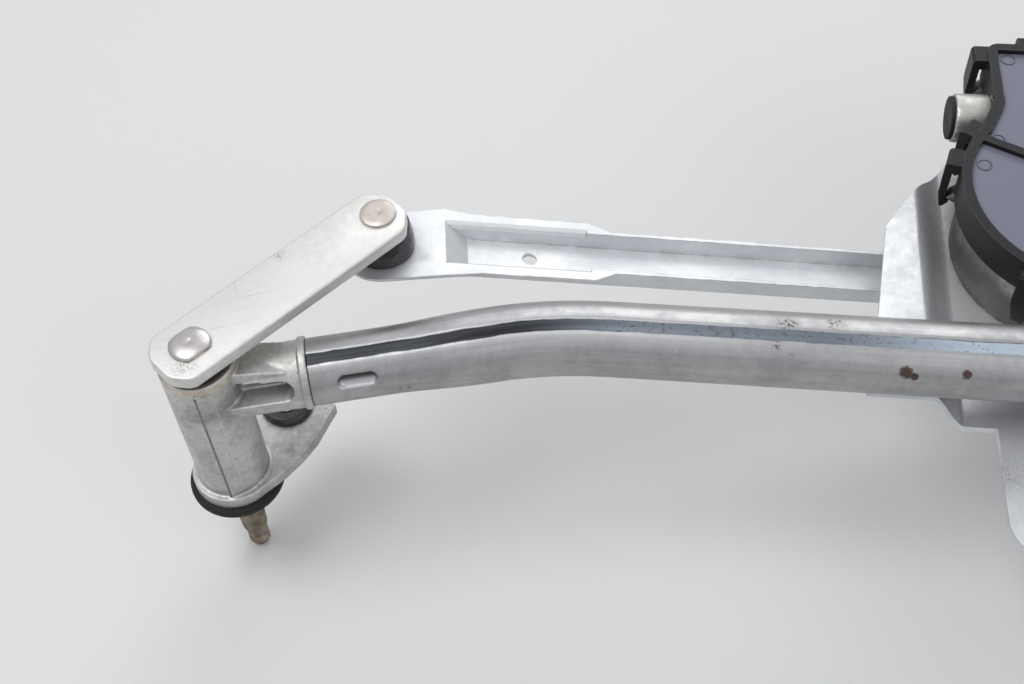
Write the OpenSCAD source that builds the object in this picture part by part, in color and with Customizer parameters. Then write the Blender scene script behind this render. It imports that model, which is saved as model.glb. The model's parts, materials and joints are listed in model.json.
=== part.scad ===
// Windscreen wiper linkage: a tubular frame with two pivots, a gear motor on a
// pressed plate, and two pressed links that turn the levers of the spindles.
// X runs along the frame, Y points away from the viewer and Z points up.
// The origin is the left mounting sleeve, on the plane that the part bolts to.

/* [Frame tube] */
// Outside diameter of the main run
tube_d = 25; // [23.5:0.5:27]
// Wall of the tube
tube_wall = 1.5; // [1.2:0.1:2]
// Outside diameter of the swaged ends
tube_end_d = 22.5; // [20:0.5:23]
// Length of each swaged end
tube_end_len = 24; // [18:1:30]
// Angle between the main run and each end
tube_bend_angle = 15; // [12:0.5:17]
// Centre-line radius of each bend
tube_bend_r = 150; // [100:5:180]
// Distance of the main run behind the line through the spindles
tube_offset = 29.5; // [27:0.5:32]
// Height of the tube's axis over the mounting plane
tube_z = 55.5; // [54:0.5:57]

/* [Pivots] */
// Distance between the two spindles
spindle_pitch = 560; // [540:1:600]
// Outside diameter of a pivot barrel
barrel_d = 25; // [23:0.5:27]
// Height of the top of the barrel
barrel_top = 71.5; // [71:0.1:73]
// Reach of the keel that runs down the front of the barrel
keel_reach = 13.6; // [13:0.1:14]
// Gap between the mounting plane and the flange
flange_z = 3; // [2:0.5:4]
// Thickness of the flange
flange_t = 5; // [4:0.5:6]
// Radius of the flange round the barrel
flange_r = 14.8; // [14.2:0.2:16]
// Distance of the tube's end from the spindle
arm_len = 34; // [32:0.5:38]
// Radius of the cast arm
arm_r = 11.3; // [10.8:0.1:11.8]
// Width of the wedge that falls from the barrel's top on to the arm
arm_w = 13; // [11:0.5:16]
// Thickness of the web between the pockets of the arm
arm_web = 7; // [5:0.5:9]
// Height of the pockets at the end of the arm
pocket_h = 6.8; // [5.5:0.1:7.5]
// Length of the spigot inside the tube
spigot_len = 36; // [28:1:40]
// Radius of the crimps that hold the tube on its spigot
crimp_r = 3; // [2.6:0.1:3.2]
// Depth of the crimps
crimp_depth = 0.9; // [0.6:0.1:1.2]
// Angle of the crimps above the front of the tube
crimp_angle = 27; // [15:1:32]
// Radial clearance of parts that only press together
seat_gap = 0.02; // [0.01:0.01:0.05]
// Diameter of the spindle in its bushes
spindle_d = 12; // [11:0.5:13]
// Radial clearance of parts that turn
run_gap = 0.05; // [0.03:0.01:0.1]
// Wall of the sintered bushes
bush_wall = 2; // [1.5:0.25:2.5]
// Length of each sintered bush
bush_len = 14; // [10:1:20]
// Outside diameter of the thread on the spindle
thread_d = 8; // [7:0.5:9]
// Length of the thread on the spindle
thread_len = 12; // [8:1:16]
// Length of the knurled cone on the spindle
cone_len = 30; // [24:1:34]
// Diameter of the seal ring
seal_d = 33.6; // [32:0.2:34]

/* [Mounts] */
// Place of a mounting sleeve from its spindle, along the frame
mount_x = 14; // [13:0.5:16]
// Place of a mounting sleeve behind its spindle
mount_y = 26.5; // [25.5:0.5:28]
// Outside diameter of the rubber grommets
grommet_d = 19; // [18:0.5:20]
// Diameter of the grommet's waist, in the sheet or the flange
grommet_waist_d = 14; // [13:0.5:15]
// Height of the grommet over the flange
grommet_lip = 3; // [2.5:0.25:4]
// Outside diameter of the steel sleeves
sleeve_d = 10; // [9:0.5:11]
// Bore of the steel sleeves
sleeve_bore = 6.6; // [6:0.1:7]

/* [Levers] */
// Distance from spindle to ball
lever_len = 77; // [72:0.5:82]
// Angle of both levers at rest
lever_angle = 49.2; // [44:0.2:54]
// Width of a lever
lever_w = 22.8; // [21:0.2:26]
// Thickness of a lever
lever_t = 5; // [4:0.5:6]
// Reach of a lever beyond its spindle
lever_heel = 12.5; // [11:0.5:14]
// Reach of a lever beyond its ball
lever_nose = 8; // [7.5:0.5:10]
// Width of the rolled top edge
lever_edge = 1; // [0.5:0.1:1.5]
// Thickness of the washer under a lever
washer_t = 2.5; // [2:0.25:3]
// Diameter of the staked spindle head
head_d = 13.4; // [12.6:0.2:14]
// Distance across the flats of the staked head
head_flats = 11.4; // [10:0.2:12]
// Height of the rivet heads
head_h = 1.5; // [1:0.1:2]

/* [Ball joints] */
// Diameter of the balls
ball_d = 13; // [12:0.5:14]
// Diameter of the neck above a ball
neck_d = 8.4; // [7.6:0.2:8.8]
// Diameter of the rivet head on a lever
rivet_d = 12; // [11:0.5:13]
// Diameter of the socket collars
socket_d = 22; // [20:0.5:23]
// Diameter of the socket in the link's eye
socket_waist_d = 16.4; // [16:0.2:17]
// Distance of the left link under its lever
socket_h = 11; // [10.5:0.5:12]
// Extra length of the right lever's ball stud
right_drop = 16; // [12:1:18]

/* [Links] */
// Thickness of the link's sheet
link_t = 1.4; // [1.2:0.1:1.6]
// Width of a link's round eyes
eye_w = 30; // [28:0.5:31]
// Width over the flanges where they end
hat_w = 26.2; // [24.6:0.2:27.4]
// Outside width of the channel at its top
channel_w = 19; // [18:0.5:20]
// Outside depth of the channel
channel_h = 8; // [7:0.5:9]
// Lean of each wall of the channel
channel_lean = 1; // [0.5:0.25:1.5]
// Radius of the shoulders between the flanges and the channel
shoulder_r = 2.2; // [1.4:0.1:2.6]
// Length over which an eye narrows to the flanges
eye_neck = 12; // [9:0.5:16]
// Distance from an eye to where its channel starts
eye_flat = 21.5; // [20:0.5:23]
// Length of the ramp at each end of the channel
ramp_len = 7; // [5:0.5:10]
// Distance from an eye to the end of its flanges
hat_len = 72; // [60:1:85]
// Length of the slanted cut that ends a flange
hat_cut = 9; // [5:0.5:14]
// Diameter of the gauge hole in the channel floor
gauge_hole_d = 5; // [4:0.5:6]
// Distance of the gauge hole from the lever's ball
gauge_hole_at = 50; // [45:1:60]

/* [Crank] */
// Throw of the crank
crank_r = 54; // [52:0.5:55]
// Thickness of the crank
crank_t = 4.5; // [4:0.25:5]
// Height of the crank's underside
crank_z = 23; // [22.5:0.25:23.5]
// Width of the crank at its hub
hub_w = 25; // [23:0.5:28]
// Width of the crank at its pin
crank_end_w = 23; // [21:0.5:25]
// Diameter of the output shaft
shaft_d = 10; // [9:0.5:11]
// Diameter of the crank's seat on the shaft
seat_d = 9; // [8:0.5:9]
// Thickness of the crank's nut
nut_t = 3.4; // [3:0.1:3.6]
// Width of the crank's nut across its flats
nut_w = 15; // [13:0.5:16]
// Gap between faces that slide past each other at the open pivots
slide_gap = 0.3; // [0.2:0.05:0.5]

/* [Gear motor] */
// Place of the output shaft along the frame
motor_x = 292; // [288:0.5:296]
// Place of the output shaft behind the spindles
motor_y = 97; // [95:0.5:99]
// Radius of the round part of the gear cover
cover_r = 45; // [44:0.25:45.5]
// Distance from output shaft to worm shaft
worm_offset = 45.5; // [45:0.25:46]
// Reach of the cover beyond the worm shaft
cover_back = 26; // [25:0.5:28]
// Half of the width of the cover's straight part, left of the output shaft
cover_left = 30; // [28:0.5:32]
// Half of the width of the cover's straight part, right of the output shaft
cover_right = 44; // [43:0.5:45]
// Radius of the cover's back corners
cover_corner = 4.5; // [3.5:0.5:6]
// Wall of the cover
cover_wall = 2.5; // [2:0.25:3]
// Height of the housing's rim, where the cover sits
split_z = 58; // [57:0.5:59]
// Height of the top of the cover
cover_top = 68; // [67:0.5:70]
// Height of the raised border over the cover's panel
border_h = 2; // [1:0.25:2.5]
// Width of the raised border
border_w = 3.5; // [3:0.25:4.5]
// Wall of the gear housing
housing_wall = 3.5; // [3:0.25:4]
// Height of the worm shaft's axis
worm_z = 54; // [53.5:0.25:54.5]
// Diameter of the bearing boss at the end of the worm shaft
boss_d = 18; // [16:0.2:19]
// Length of the bearing boss outside the cover
boss_len = 12; // [10:0.5:15]
// Diameter of the motor can
can_d = 52; // [48:0.5:53]
// Distance across the two flats of the can's flange
can_flats = 46; // [43:0.5:48]
// Length of the motor can
can_len = 88; // [80:1:100]
// Length of the neck between gear housing and can
neck_len = 12; // [10:0.5:15]

/* [Motor plate] */
// Thickness of the plate's sheet
plate_t = 2.5; // [2:0.25:3]
// Depth of the step between the tongues and the motor's seat
step_h = 11; // [10:0.5:11]
// Length of each step
step_len = 13; // [11:0.5:14]
// Distance of each step's foot from the output shaft
seat_half = 43; // [42.5:0.25:45]
// Length of each tongue under the tube
tongue_len = 21; // [18:0.5:24]
// Reach of the plate in front of the tube's axis
plate_front = 10; // [9:0.5:11]
// How far the front edge of the tongues stands back from that of the seat
tongue_set = 4; // [2:0.5:5]
// Reach of the ear in front of the tube's axis
ear_reach = 56.5; // [53:0.5:60]
// Width of the ear
ear_w = 41; // [36:0.5:44]
// Corner radius of the ear
ear_corner = 14; // [11:0.5:16]
// Place of the ear's middle left of the output shaft
ear_x = 12; // [10:0.5:14]

/* [Hidden] */
$fn = 64;
nothing = 0.01;
strap_bite = 0.06;

// Heights, from the mounting plane up
lever_z = barrel_top + washer_t;
lever_top = lever_z + lever_t;
link_z = lever_z - socket_h;
right_link_z = link_z - right_drop;
bush_r = spindle_d / 2 + run_gap + bush_wall;
plate_z = tube_z - tube_d / 2 - step_h;
seat_z = plate_z - plate_t;
crank_top = crank_z + crank_t;
nut_z = crank_z - nut_t;

// Lengths of a ball joint, from the top of its link
ball_r = ball_d / 2;
ball_gap = 0.06;
ball_up = 0.5;
socket_lip = 8.8;
socket_lip_r = socket_waist_d / 2 + 1.1;
socket_mouth_r = neck_d / 2 + 1.2;

// Places of the joints in plan, from the left spindle
left_spindle_at = [0, 0];
right_spindle_at = [spindle_pitch, 0];
motor_at = [motor_x, motor_y];
left_ball_at = left_spindle_at + lever_len * toward(lever_angle);
right_ball_at = right_spindle_at + lever_len * toward(lever_angle);
crank_angle = bearing(left_ball_at, motor_at);
crank_pin_at = motor_at + crank_r * toward(crank_angle);
left_link_len = norm(crank_pin_at - left_ball_at);
right_link_len = norm(crank_pin_at - right_ball_at);

// Stack of the two links under the crank
left_eye_z = nut_z - 10.1;
stud_end_z = left_eye_z - 7.1;
right_eye_z = stud_end_z - slide_gap - 4.1;
right_ball_lift = -3;

// Tube
tube_r = tube_d / 2;
tube_end_r = tube_end_d / 2;
bend_tangent = tube_bend_r * tan(tube_bend_angle / 2);
tube_leg = tube_offset / sin(tube_bend_angle) - bend_tangent;
bend_x = tube_offset / tan(tube_bend_angle) + bend_tangent;
bend_lap = 0.5;
bend_step = 0.02;

// Gear housing
cover_gap = 0.15;
housing_inset = cover_wall + cover_gap;
cavity_inset = housing_inset + housing_wall;
housing_floor = 3;
skirt_h = 3;
boss_x = motor_x - cover_left - boss_len;
neck_x = motor_x + cover_right - housing_inset;
can_x = neck_x + neck_len;
can_ear = can_d / 2 + 4;
neck_r = 17;
hook_drop = 14;
screw_r = 2.5;
screw_ring = 33;
screw_angles = [200, 310, 70];
boss_r = 13;

// Plate
ear_at = [motor_x - ear_x, tube_offset - ear_reach + ear_w / 2 - 1.5];
steel = "lightsteelblue";
zinc = "gainsboro";
cast = "darkgray";
black = "dimgray";

function toward(a) = [cos(a), sin(a)];
function bearing(p, q) = atan2(q.y - p.y, q.x - p.x);

// Moves the left spindle's frame so that the left mounting sleeve is the origin
module placed() {
    translate([-mount_x, -mount_y, 0])
        children();
}

// Left pivot's pieces as drawn, or their mirror image at the right spindle
module at_pivot(right) {
    if (right)
        translate([spindle_pitch, 0, 0])
            mirror([1, 0, 0])
                children();
    else
        children();
}

// Cylinder between two heights
module rod(r, z0, z1) {
    translate([0, 0, z0])
        cylinder(r = r, h = z1 - z0);
}

// Cone between two heights
module cone(r0, r1, z0, z1) {
    translate([0, 0, z0])
        cylinder(r1 = r0, r2 = r1, h = z1 - z0);
}

// Cylinder along X between two places
module bar(r, x0, x1) {
    translate([x0, 0, 0])
        rotate([0, 90, 0])
            cylinder(r = r, h = x1 - x0);
}

// Outline drawn in X and Z, as wide as w across Y
module side_plate(points, w) {
    translate([0, w / 2, 0])
        rotate([90, 0, 0])
            linear_extrude(w)
                polygon(points);
}

// Outline round two circles and the lines between them, which bite into the circles a little
module strap(p, p_r, q, q_r) {
    base = bearing(p, q);
    lean = acos((p_r - q_r) / norm(q - p));
    translate(p)
        circle(p_r);
    translate(q)
        circle(q_r);
    polygon([
        p + (p_r - strap_bite) * toward(base + lean), p + (p_r - strap_bite) * toward(base - lean),
        q + (q_r - strap_bite) * toward(base - lean), q + (q_r - strap_bite) * toward(base + lean)
    ]);
}

// FRAME TUBE

// Ring-shaped section of the tube, with a wall that is thicker by grow on each side
module tube_section(grow) {
    difference() {
        circle(tube_r + grow);
        circle(tube_r - tube_wall - grow);
    }
}

// Crimps that hold the tube on its spigot: a slot with round ends and a round dent
module crimps() {
    translate([arm_len, 0, tube_z])
        rotate([90 - crimp_angle, 0, 0])
            translate([0, 0, tube_end_r - crimp_depth])
                linear_extrude(tube_end_r) {
                    strap([8, 0], crimp_r, [19, 0], crimp_r);
                    translate([spigot_len - 6, 0])
                        circle(0.75 * crimp_r);
                }
}

// Swaged end and its taper, as a revolved wall
module tube_end() {
    difference() {
        translate([0, 0, tube_z])
            rotate([0, 90, 0])
                rotate_extrude()
                    polygon([
                        [tube_end_r - tube_wall, arm_len], [tube_end_r, arm_len],
                        [tube_end_r, arm_len + tube_end_len], [tube_r, tube_leg - 2],
                        [tube_r, tube_leg + bend_lap], [tube_r - tube_wall, tube_leg + bend_lap],
                        [tube_r - tube_wall, tube_leg - 2],
                        [tube_end_r - tube_wall, arm_len + tube_end_len]
                    ]);
        crimps();
    }
}

// One half of the tube, from its swaged end to the end of its bend
module tube_half() {
    rotate(tube_bend_angle)
        tube_end();
    translate([bend_x, tube_offset - tube_bend_r, tube_z])
        rotate(90)
            rotate_extrude(angle = tube_bend_angle)
                translate([tube_bend_r, 0])
                    tube_section(bend_step);
}

module frame_tube() {
    color(zinc)
        placed() {
            at_pivot(false)
                tube_half();
            at_pivot(true)
                tube_half();
            translate([bend_x - bend_lap, tube_offset, tube_z])
                rotate([90, 0, 90])
                    linear_extrude(spindle_pitch - 2 * bend_x + 2 * bend_lap)
                        tube_section(0);
        }
}

// Weld beads between the tube and the tongues of the plate
module tube_welds() {
    bead = [3, 7.5];
    bead_h = 2.4;
    color("slategray")
        placed()
            for (side = [-1, 1])
                translate([motor_x + side * (seat_half + step_len + tongue_len / 2), tube_offset, 0])
                    difference() {
                        translate([-tongue_len / 2 + 2, bead[0], tube_z - tube_r])
                            cube([tongue_len - 4, bead[1] - bead[0], bead_h]);
                        translate([0, 0, tube_z])
                            bar(tube_r, -tongue_len, tongue_len);
                    }
}

// PIVOT HOUSINGS

// Flange with its ear for the grommet
module flange_outline() {
    mount_at = [mount_x, mount_y];
    strap([0, 0], flange_r, mount_at, grommet_d / 2 + 4.5);
    polygon([
        [0, 0], (flange_r - 0.1) * toward(-38), mount_at + [4.5, -27.7], mount_at + [9, -21.2],
        mount_at + [13, -13.5], mount_at + [15.8, -4], mount_at + [17.6, 1.5], mount_at + [6, 11]
    ]);
}

// Keel of the barrel's parting line: a small step and a flat that runs back into the barrel
module keel_outline() {
    r = barrel_d / 2;
    lean = acos(r / keel_reach);
    rotate(tube_bend_angle - 95)
        polygon([
            [0, 0], [r - 1, -0.9], [keel_reach - 0.2, -0.5], [keel_reach, -0.2],
            (r - strap_bite) * toward(lean)
        ]);
}

// Cast arm between barrel and tube: a round bar with a wedge on top and a long pocket
// with a round end on each side
module arm() {
    end = arm_len - 2;
    wedge_end = end - 5;
    pocket_z = tube_z + 4.3;
    pocket_r = pocket_h / 2;
    difference() {
        union() {
            translate([0, 0, tube_z])
                bar(arm_r, 0, end);
            side_plate([
                [0, tube_z], [wedge_end, tube_z], [wedge_end, tube_z + arm_r - 1.2], [0, barrel_top - 1.2]
            ], arm_w);
        }
        for (side = [-1, 1])
            translate([0, side * (arm_web / 2 + arm_r), 0])
                rotate([90, 0, 0])
                    translate([0, 0, -arm_r])
                        linear_extrude(2 * arm_r)
                            strap([0, pocket_z + 0.9], pocket_r + 0.8, [end - 6.4, pocket_z], pocket_r);
    }
}

module pivot_housing() {
    spigot_r = tube_end_r - tube_wall - seat_gap;
    difference() {
        union() {
            translate([0, 0, flange_z])
                linear_extrude(barrel_top - flange_z)
                    circle(barrel_d / 2);
            translate([0, 0, flange_z + 1])
                linear_extrude(barrel_top - flange_z - 4.5)
                    keel_outline();
            translate([0, 0, flange_z])
                linear_extrude(flange_t)
                    flange_outline();
            rotate(tube_bend_angle) {
                arm();
                translate([0, 0, tube_z]) {
                    bar(tube_end_r + 0.9, arm_len - 2.5, arm_len);
                    bar(spigot_r, arm_len - nothing, arm_len + spigot_len);
                }
            }
        }
        rod(bush_r + seat_gap, 0, barrel_top + 1);
        translate([mount_x, mount_y, 0])
            rod(grommet_waist_d / 2 + seat_gap, 0, flange_z + flange_t + 1);
    }
}

module left_pivot_housing() {
    color(cast)
        placed()
            at_pivot(false)
                pivot_housing();
}

module right_pivot_housing() {
    color(cast)
        placed()
            at_pivot(true)
                pivot_housing();
}

// Sintered bushes at both ends of the barrel
module bearing_bushes() {
    for (z = [flange_z, barrel_top - bush_len])
        difference() {
            rod(bush_r, z, z + bush_len);
            rod(spindle_d / 2 + run_gap, z - 1, z + bush_len + 1);
        }
}

module left_bearing_bushes() {
    color("goldenrod")
        placed()
            at_pivot(false)
                bearing_bushes();
}

module right_bearing_bushes() {
    color("goldenrod")
        placed()
            at_pivot(true)
                bearing_bushes();
}

// Rubber ring under the flange, with a lip round its edge
module seal() {
    low = -1.6;
    inner = bush_r + 2.2;
    rotate_extrude()
        polygon([
            [inner, flange_z], [inner, low + 1.5], [inner + 1.5, low], [seal_d / 2 - 1.2, low],
            [seal_d / 2, low + 1.2], [seal_d / 2, flange_z - 1], [flange_r - 0.5, flange_z]
        ]);
}

module left_seal() {
    color(black)
        placed()
            at_pivot(false)
                seal();
}

module right_seal() {
    color(black)
        placed()
            at_pivot(true)
                seal();
}

// MOUNTS

// Rubber grommet that grips a sheet or flange between z0 and z1
module grommet(z0, z1) {
    outer = grommet_d / 2;
    lip = flange_z - 0.3;
    rotate_extrude()
        polygon([
            [sleeve_d / 2, z0 - lip], [outer - 0.8, z0 - lip], [outer, z0 - lip + 0.8], [outer, z0],
            [grommet_waist_d / 2, z0], [grommet_waist_d / 2, z1], [outer, z1],
            [outer, z1 + grommet_lip - 1.2], [outer - 1.2, z1 + grommet_lip],
            [sleeve_d / 2, z1 + grommet_lip]
        ]);
}

// Steel sleeve through a grommet
module sleeve(z0, z1) {
    difference() {
        rod(sleeve_d / 2 - seat_gap, z0 - flange_z, z1 + grommet_lip + 0.5);
        rod(sleeve_bore / 2, z0 - flange_z - 1, z1 + grommet_lip + 2);
    }
}

module left_mount_grommet() {
    color(black)
        placed()
            at_pivot(false)
                translate([mount_x, mount_y, 0])
                    grommet(flange_z, flange_z + flange_t);
}

module right_mount_grommet() {
    color(black)
        placed()
            at_pivot(true)
                translate([mount_x, mount_y, 0])
                    grommet(flange_z, flange_z + flange_t);
}

module plate_mount_grommet() {
    color(black)
        placed()
            translate(ear_at)
                grommet(seat_z, plate_z);
}

module left_mount_sleeve() {
    color(steel)
        placed()
            at_pivot(false)
                translate([mount_x, mount_y, 0])
                    sleeve(flange_z, flange_z + flange_t);
}

module right_mount_sleeve() {
    color(steel)
        placed()
            at_pivot(true)
                translate([mount_x, mount_y, 0])
                    sleeve(flange_z, flange_z + flange_t);
}

module plate_mount_sleeve() {
    color(steel)
        placed()
            translate(ear_at)
                sleeve(seat_z, plate_z);
}

// MOTOR PLATE

// Height of the step at a share of its length, as a smooth S
function step_rise(share) = step_h * (1 - cos(180 * share)) / 2;

// Section of the plate: tongue, step, seat, step and tongue
module plate_section() {
    steps = 12;
    half = [
        for (i = [0:steps]) [seat_half + step_len * i / steps, step_rise(i / steps)],
        [seat_half + step_len + tongue_len, step_h]
    ];
    top = concat([for (i = [len(half) - 1:-1:0]) [-half[i].x, half[i].y]], half);
    low = [for (i = [len(top) - 1:-1:0]) [top[i].x, top[i].y - plate_t]];
    polygon(concat(top, low));
}

// Outline of the plate, from the output shaft
module plate_outline() {
    edge = seat_half + step_len + tongue_len;
    front = tube_offset - plate_front - motor_y;
    back = worm_offset + 9;
    wing = 42;
    polygon([
        [-edge, front + tongue_set], [-edge + tongue_len + 2, front + tongue_set],
        [-seat_half - 1, front], [seat_half + 1, front],
        [edge - tongue_len - 2, front + tongue_set], [edge, front + tongue_set],
        [edge - 5.5, -wing], [cover_right - 10, 4],
        [cover_right - 10, back - 9], [cover_right - 19, back], [-cover_left - 3, back],
        [-edge + 10.5, 0], [-edge + 5.5, -wing]
    ]);
    translate(ear_at - motor_at)
        ear_outline();
}

// Rounded ear that reaches forward under the tube
module ear_outline() {
    r = ear_corner;
    half = ear_w / 2;
    translate([-half, -half + r])
        square([ear_w, ear_reach + r]);
    translate([-half + r, -half])
        square([ear_w - 2 * r, ear_w]);
    for (side = [-1, 1])
        translate([side * (half - r), -half + r])
            circle(r);
}

module motor_plate() {
    reach = 2 * (worm_offset + motor_y);
    color(zinc)
        placed()
            difference() {
                translate([motor_x, motor_y, plate_z])
                    intersection() {
                        translate([0, reach / 2, 0])
                            rotate([90, 0, 0])
                                linear_extrude(reach)
                                    plate_section();
                        translate([0, 0, -plate_t - 1])
                            linear_extrude(step_h + plate_t + 2)
                                plate_outline();
                    }
                translate(motor_at)
                    rod(boss_r + 0.2, seat_z - 1, plate_z + 1);
                translate(ear_at)
                    rod(grommet_waist_d / 2 + seat_gap, seat_z - 1, plate_z + 1);
                at_motor_screws()
                    rod(screw_r + 0.3, seat_z - 1, plate_z + 1);
            }
}

// GEAR MOTOR

module at_motor_screws() {
    for (a = screw_angles)
        translate(motor_at + screw_ring * toward(a))
            children();
}

// Pan-head screws that hold the gear housing on the plate, from below
module motor_screws() {
    color(steel)
        placed()
            at_motor_screws() {
                cone(4.2, 5, seat_z - 1.5, seat_z);
                rod(screw_r, seat_z - nothing, plate_z + housing_floor + 6);
            }
}

// Outline shared by the gear housing and its cover
module gearbox_outline(inset) {
    translate(motor_at)
        circle(cover_r - inset);
    r = max(cover_corner - inset, 0.8);
    left = cover_left - inset;
    meet = 180 - acos(left / (cover_r - inset));
    meet_y = (cover_r - inset) * sin(meet);
    translate(motor_at)
        polygon([
            [2 - left, meet_y], [-left, meet_y + 8], (cover_r - inset - strap_bite) * toward(meet + 12)
        ]);
    width = cover_left + cover_right - 2 * inset;
    depth = worm_offset + cover_back - inset;
    translate(motor_at + [-cover_left + inset, 0]) {
        square([width, depth - r]);
        translate([r, 0])
            square([width - 2 * r, depth]);
        for (x = [r, width - r])
            translate([x, depth - r])
                circle(r);
    }
}

// Places its children with X along the worm shaft
module at_worm() {
    translate([0, motor_y + worm_offset, worm_z])
        children();
}

// Cylinder along X with a flat above and a flat below
module flat_bar(r, flats, x0, x1) {
    intersection() {
        bar(r, x0, x1);
        translate([x0 - 1, -2 * r, -flats / 2])
            cube([x1 - x0 + 2, 4 * r, flats]);
    }
}

// Flange between housing neck and motor can, with two screw ears
module can_flange(x0, x1) {
    flat_bar(can_d / 2 + 1, can_flats, x0, x1);
    for (side = [-1, 1])
        translate([0, side * can_ear, 0])
            bar(6, x0, x1);
}

module gear_housing() {
    ear_web = 4;
    color(cast)
        placed()
            difference() {
                union() {
                    translate([0, 0, plate_z])
                        linear_extrude(split_z - plate_z)
                            gearbox_outline(housing_inset);
                    translate(motor_at)
                        rod(boss_r, seat_z - 0.5, plate_z + 1);
                    at_hooks()
                        hook_lug(6);
                    at_worm() {
                        bar(boss_d / 2, boss_x, boss_x + boss_len + housing_inset + 3);
                        bar(neck_r, neck_x - 3, can_x - ear_web);
                        can_flange(can_x - ear_web, can_x);
                    }
                }
                difference() {
                    translate([0, 0, plate_z + housing_floor])
                        linear_extrude(split_z - plate_z)
                            gearbox_outline(cavity_inset);
                    translate(motor_at)
                        rod(boss_r - 1, plate_z, worm_z - 7);
                    at_motor_screws()
                        rod(5, plate_z, plate_z + housing_floor + 8);
                }
                translate(motor_at)
                    rod(shaft_d / 2 + run_gap + bush_wall + 1 + seat_gap, seat_z - 1, worm_z);
                at_motor_screws()
                    rod(screw_r + seat_gap, plate_z - 1, plate_z + housing_floor + 6.5);
                at_worm() {
                    bar(5, boss_x - 1, neck_x);
                    for (side = [-1, 1])
                        translate([0, side * can_ear, 0])
                            bar(2 + seat_gap, can_x - ear_web - 1, can_x + 1);
                }
            }
}

// Snap hook on the cover's edge, X outwards: a short tab and a leg with a barbed, narrow tip
module snap_hook(w) {
    tip = split_z - hook_drop;
    top = cover_top - 0.8;
    intersection() {
        side_plate([
            [-3, top], [4.4, top], [5.3, top - 1.2], [5.1, split_z - 6], [3.6, tip], [2.6, tip],
            [0.8, split_z - 10.6], [2.3, split_z - 10], [2.3, top - 4.4], [-3, top - 4.4]
        ], w);
        translate([-4, 0, 0])
            rotate([90, 0, 90])
                linear_extrude(11)
                    polygon([
                        [-w / 2, top + 1], [-w / 2, split_z - 3], [-w / 4, tip - 1], [w / 4, tip - 1],
                        [w / 2, split_z - 3], [w / 2, top + 1]
                    ]);
    }
}

// Lug of the housing that a hook grips
module hook_lug(w) {
    side_plate([
        [-5, split_z - 3.5], [-2.4, split_z - 3.5], [2, split_z - 8.4], [2, split_z - 9.7],
        [-5, split_z - 11]
    ], w);
}

// Places its children on the cover's edge, with X outwards
module at_hooks() {
    for (a = [145, 165, 238, 300])
        translate(motor_at)
            rotate(a)
                translate([cover_r, 0, 0])
                    children();
    translate(motor_at + [-cover_left, worm_offset + cover_back - 5])
        rotate(180)
            children();
    for (x = [-14, 12, 34])
        translate(motor_at + [x, worm_offset + cover_back])
            rotate(90)
                children();
}

module gear_cover() {
    panel_z = cover_top - border_h;
    rib_w = 3;
    color(black)
        placed()
            difference() {
                union() {
                    translate([0, 0, split_z - skirt_h])
                        linear_extrude(cover_top - split_z + skirt_h)
                            gearbox_outline(0);
                    at_hooks()
                        snap_hook(8);
                }
                translate([0, 0, split_z - skirt_h - 1])
                    linear_extrude(skirt_h + 1)
                        gearbox_outline(cover_wall);
                translate([0, 0, split_z - nothing])
                    linear_extrude(panel_z - cover_wall - split_z)
                        gearbox_outline(cavity_inset);
                difference() {
                    translate([0, 0, panel_z])
                        linear_extrude(border_h + 1)
                            gearbox_outline(border_w);
                    translate([motor_x - cover_r, motor_y + worm_offset - 20.5, panel_z - 1])
                        rotate(-26)
                            cube([2.3 * cover_r, rib_w, border_h + 1]);
                }
                at_worm()
                    bar(boss_d / 2 + 0.3, motor_x - cover_r - 10, motor_x - cover_left + 8);
                at_worm()
                    bar(neck_r + 0.3, neck_x - 8, can_x);
            }
}

// Cap pressed into the end of the bearing boss
module thrust_cap() {
    color(black)
        placed()
            at_worm() {
                bar(boss_d / 2 - 1, boss_x - 1.5, boss_x);
                bar(5 - seat_gap, boss_x - nothing, boss_x + 5);
            }
}

module output_bush() {
    r = shaft_d / 2 + run_gap;
    color("goldenrod")
        placed()
            translate(motor_at)
                difference() {
                    rod(r + bush_wall + 1, seat_z - 0.5, worm_z - 7);
                    rod(r, seat_z - 2, worm_z);
                }
}

// Deep-drawn can with a stepped end and a bearing dome
module motor_can() {
    r = can_d / 2;
    end = can_x + can_len;
    flange = 2.5;
    color(cast)
        placed()
            at_worm()
                difference() {
                    union() {
                        can_flange(can_x, can_x + flange);
                        intersection() {
                            rotate([0, 90, 0])
                                rotate_extrude()
                                    polygon([
                                        [0, can_x], [r, can_x], [r, end - 8], [r - 2.3, end - 2.3],
                                        [r - 8, end], [11, end], [9.5, end + 5], [7, end + 6], [0, end + 6]
                                    ]);
                            translate([can_x - 1, -can_d, 1 - can_flats / 2])
                                cube([can_len + 10, 2 * can_d, can_flats - 2]);
                        }
                    }
                    for (side = [-1, 1])
                        translate([0, side * can_ear, 0])
                            bar(2 + seat_gap, can_x - 1, can_x + flange + 1);
                }
}

module can_screws() {
    flange = 2.5;
    color(steel)
        placed()
            at_worm()
                for (side = [-1, 1])
                    translate([0, side * can_ear, 0]) {
                        bar(2, can_x - 5, can_x + flange);
                        bar(3.8, can_x + flange, can_x + flange + 2.6);
                    }
}

// CRANK

module output_shaft() {
    wheel_top = worm_z + 6;
    color(steel)
        placed()
            translate(motor_at) {
                rod(shaft_d / 2, crank_top, wheel_top);
                rod(seat_d / 2 - seat_gap, nut_z + 0.4, crank_top + nothing);
                cone(seat_d / 2 - 0.8, seat_d / 2 - seat_gap, nut_z, nut_z + 0.4);
            }
}

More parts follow.
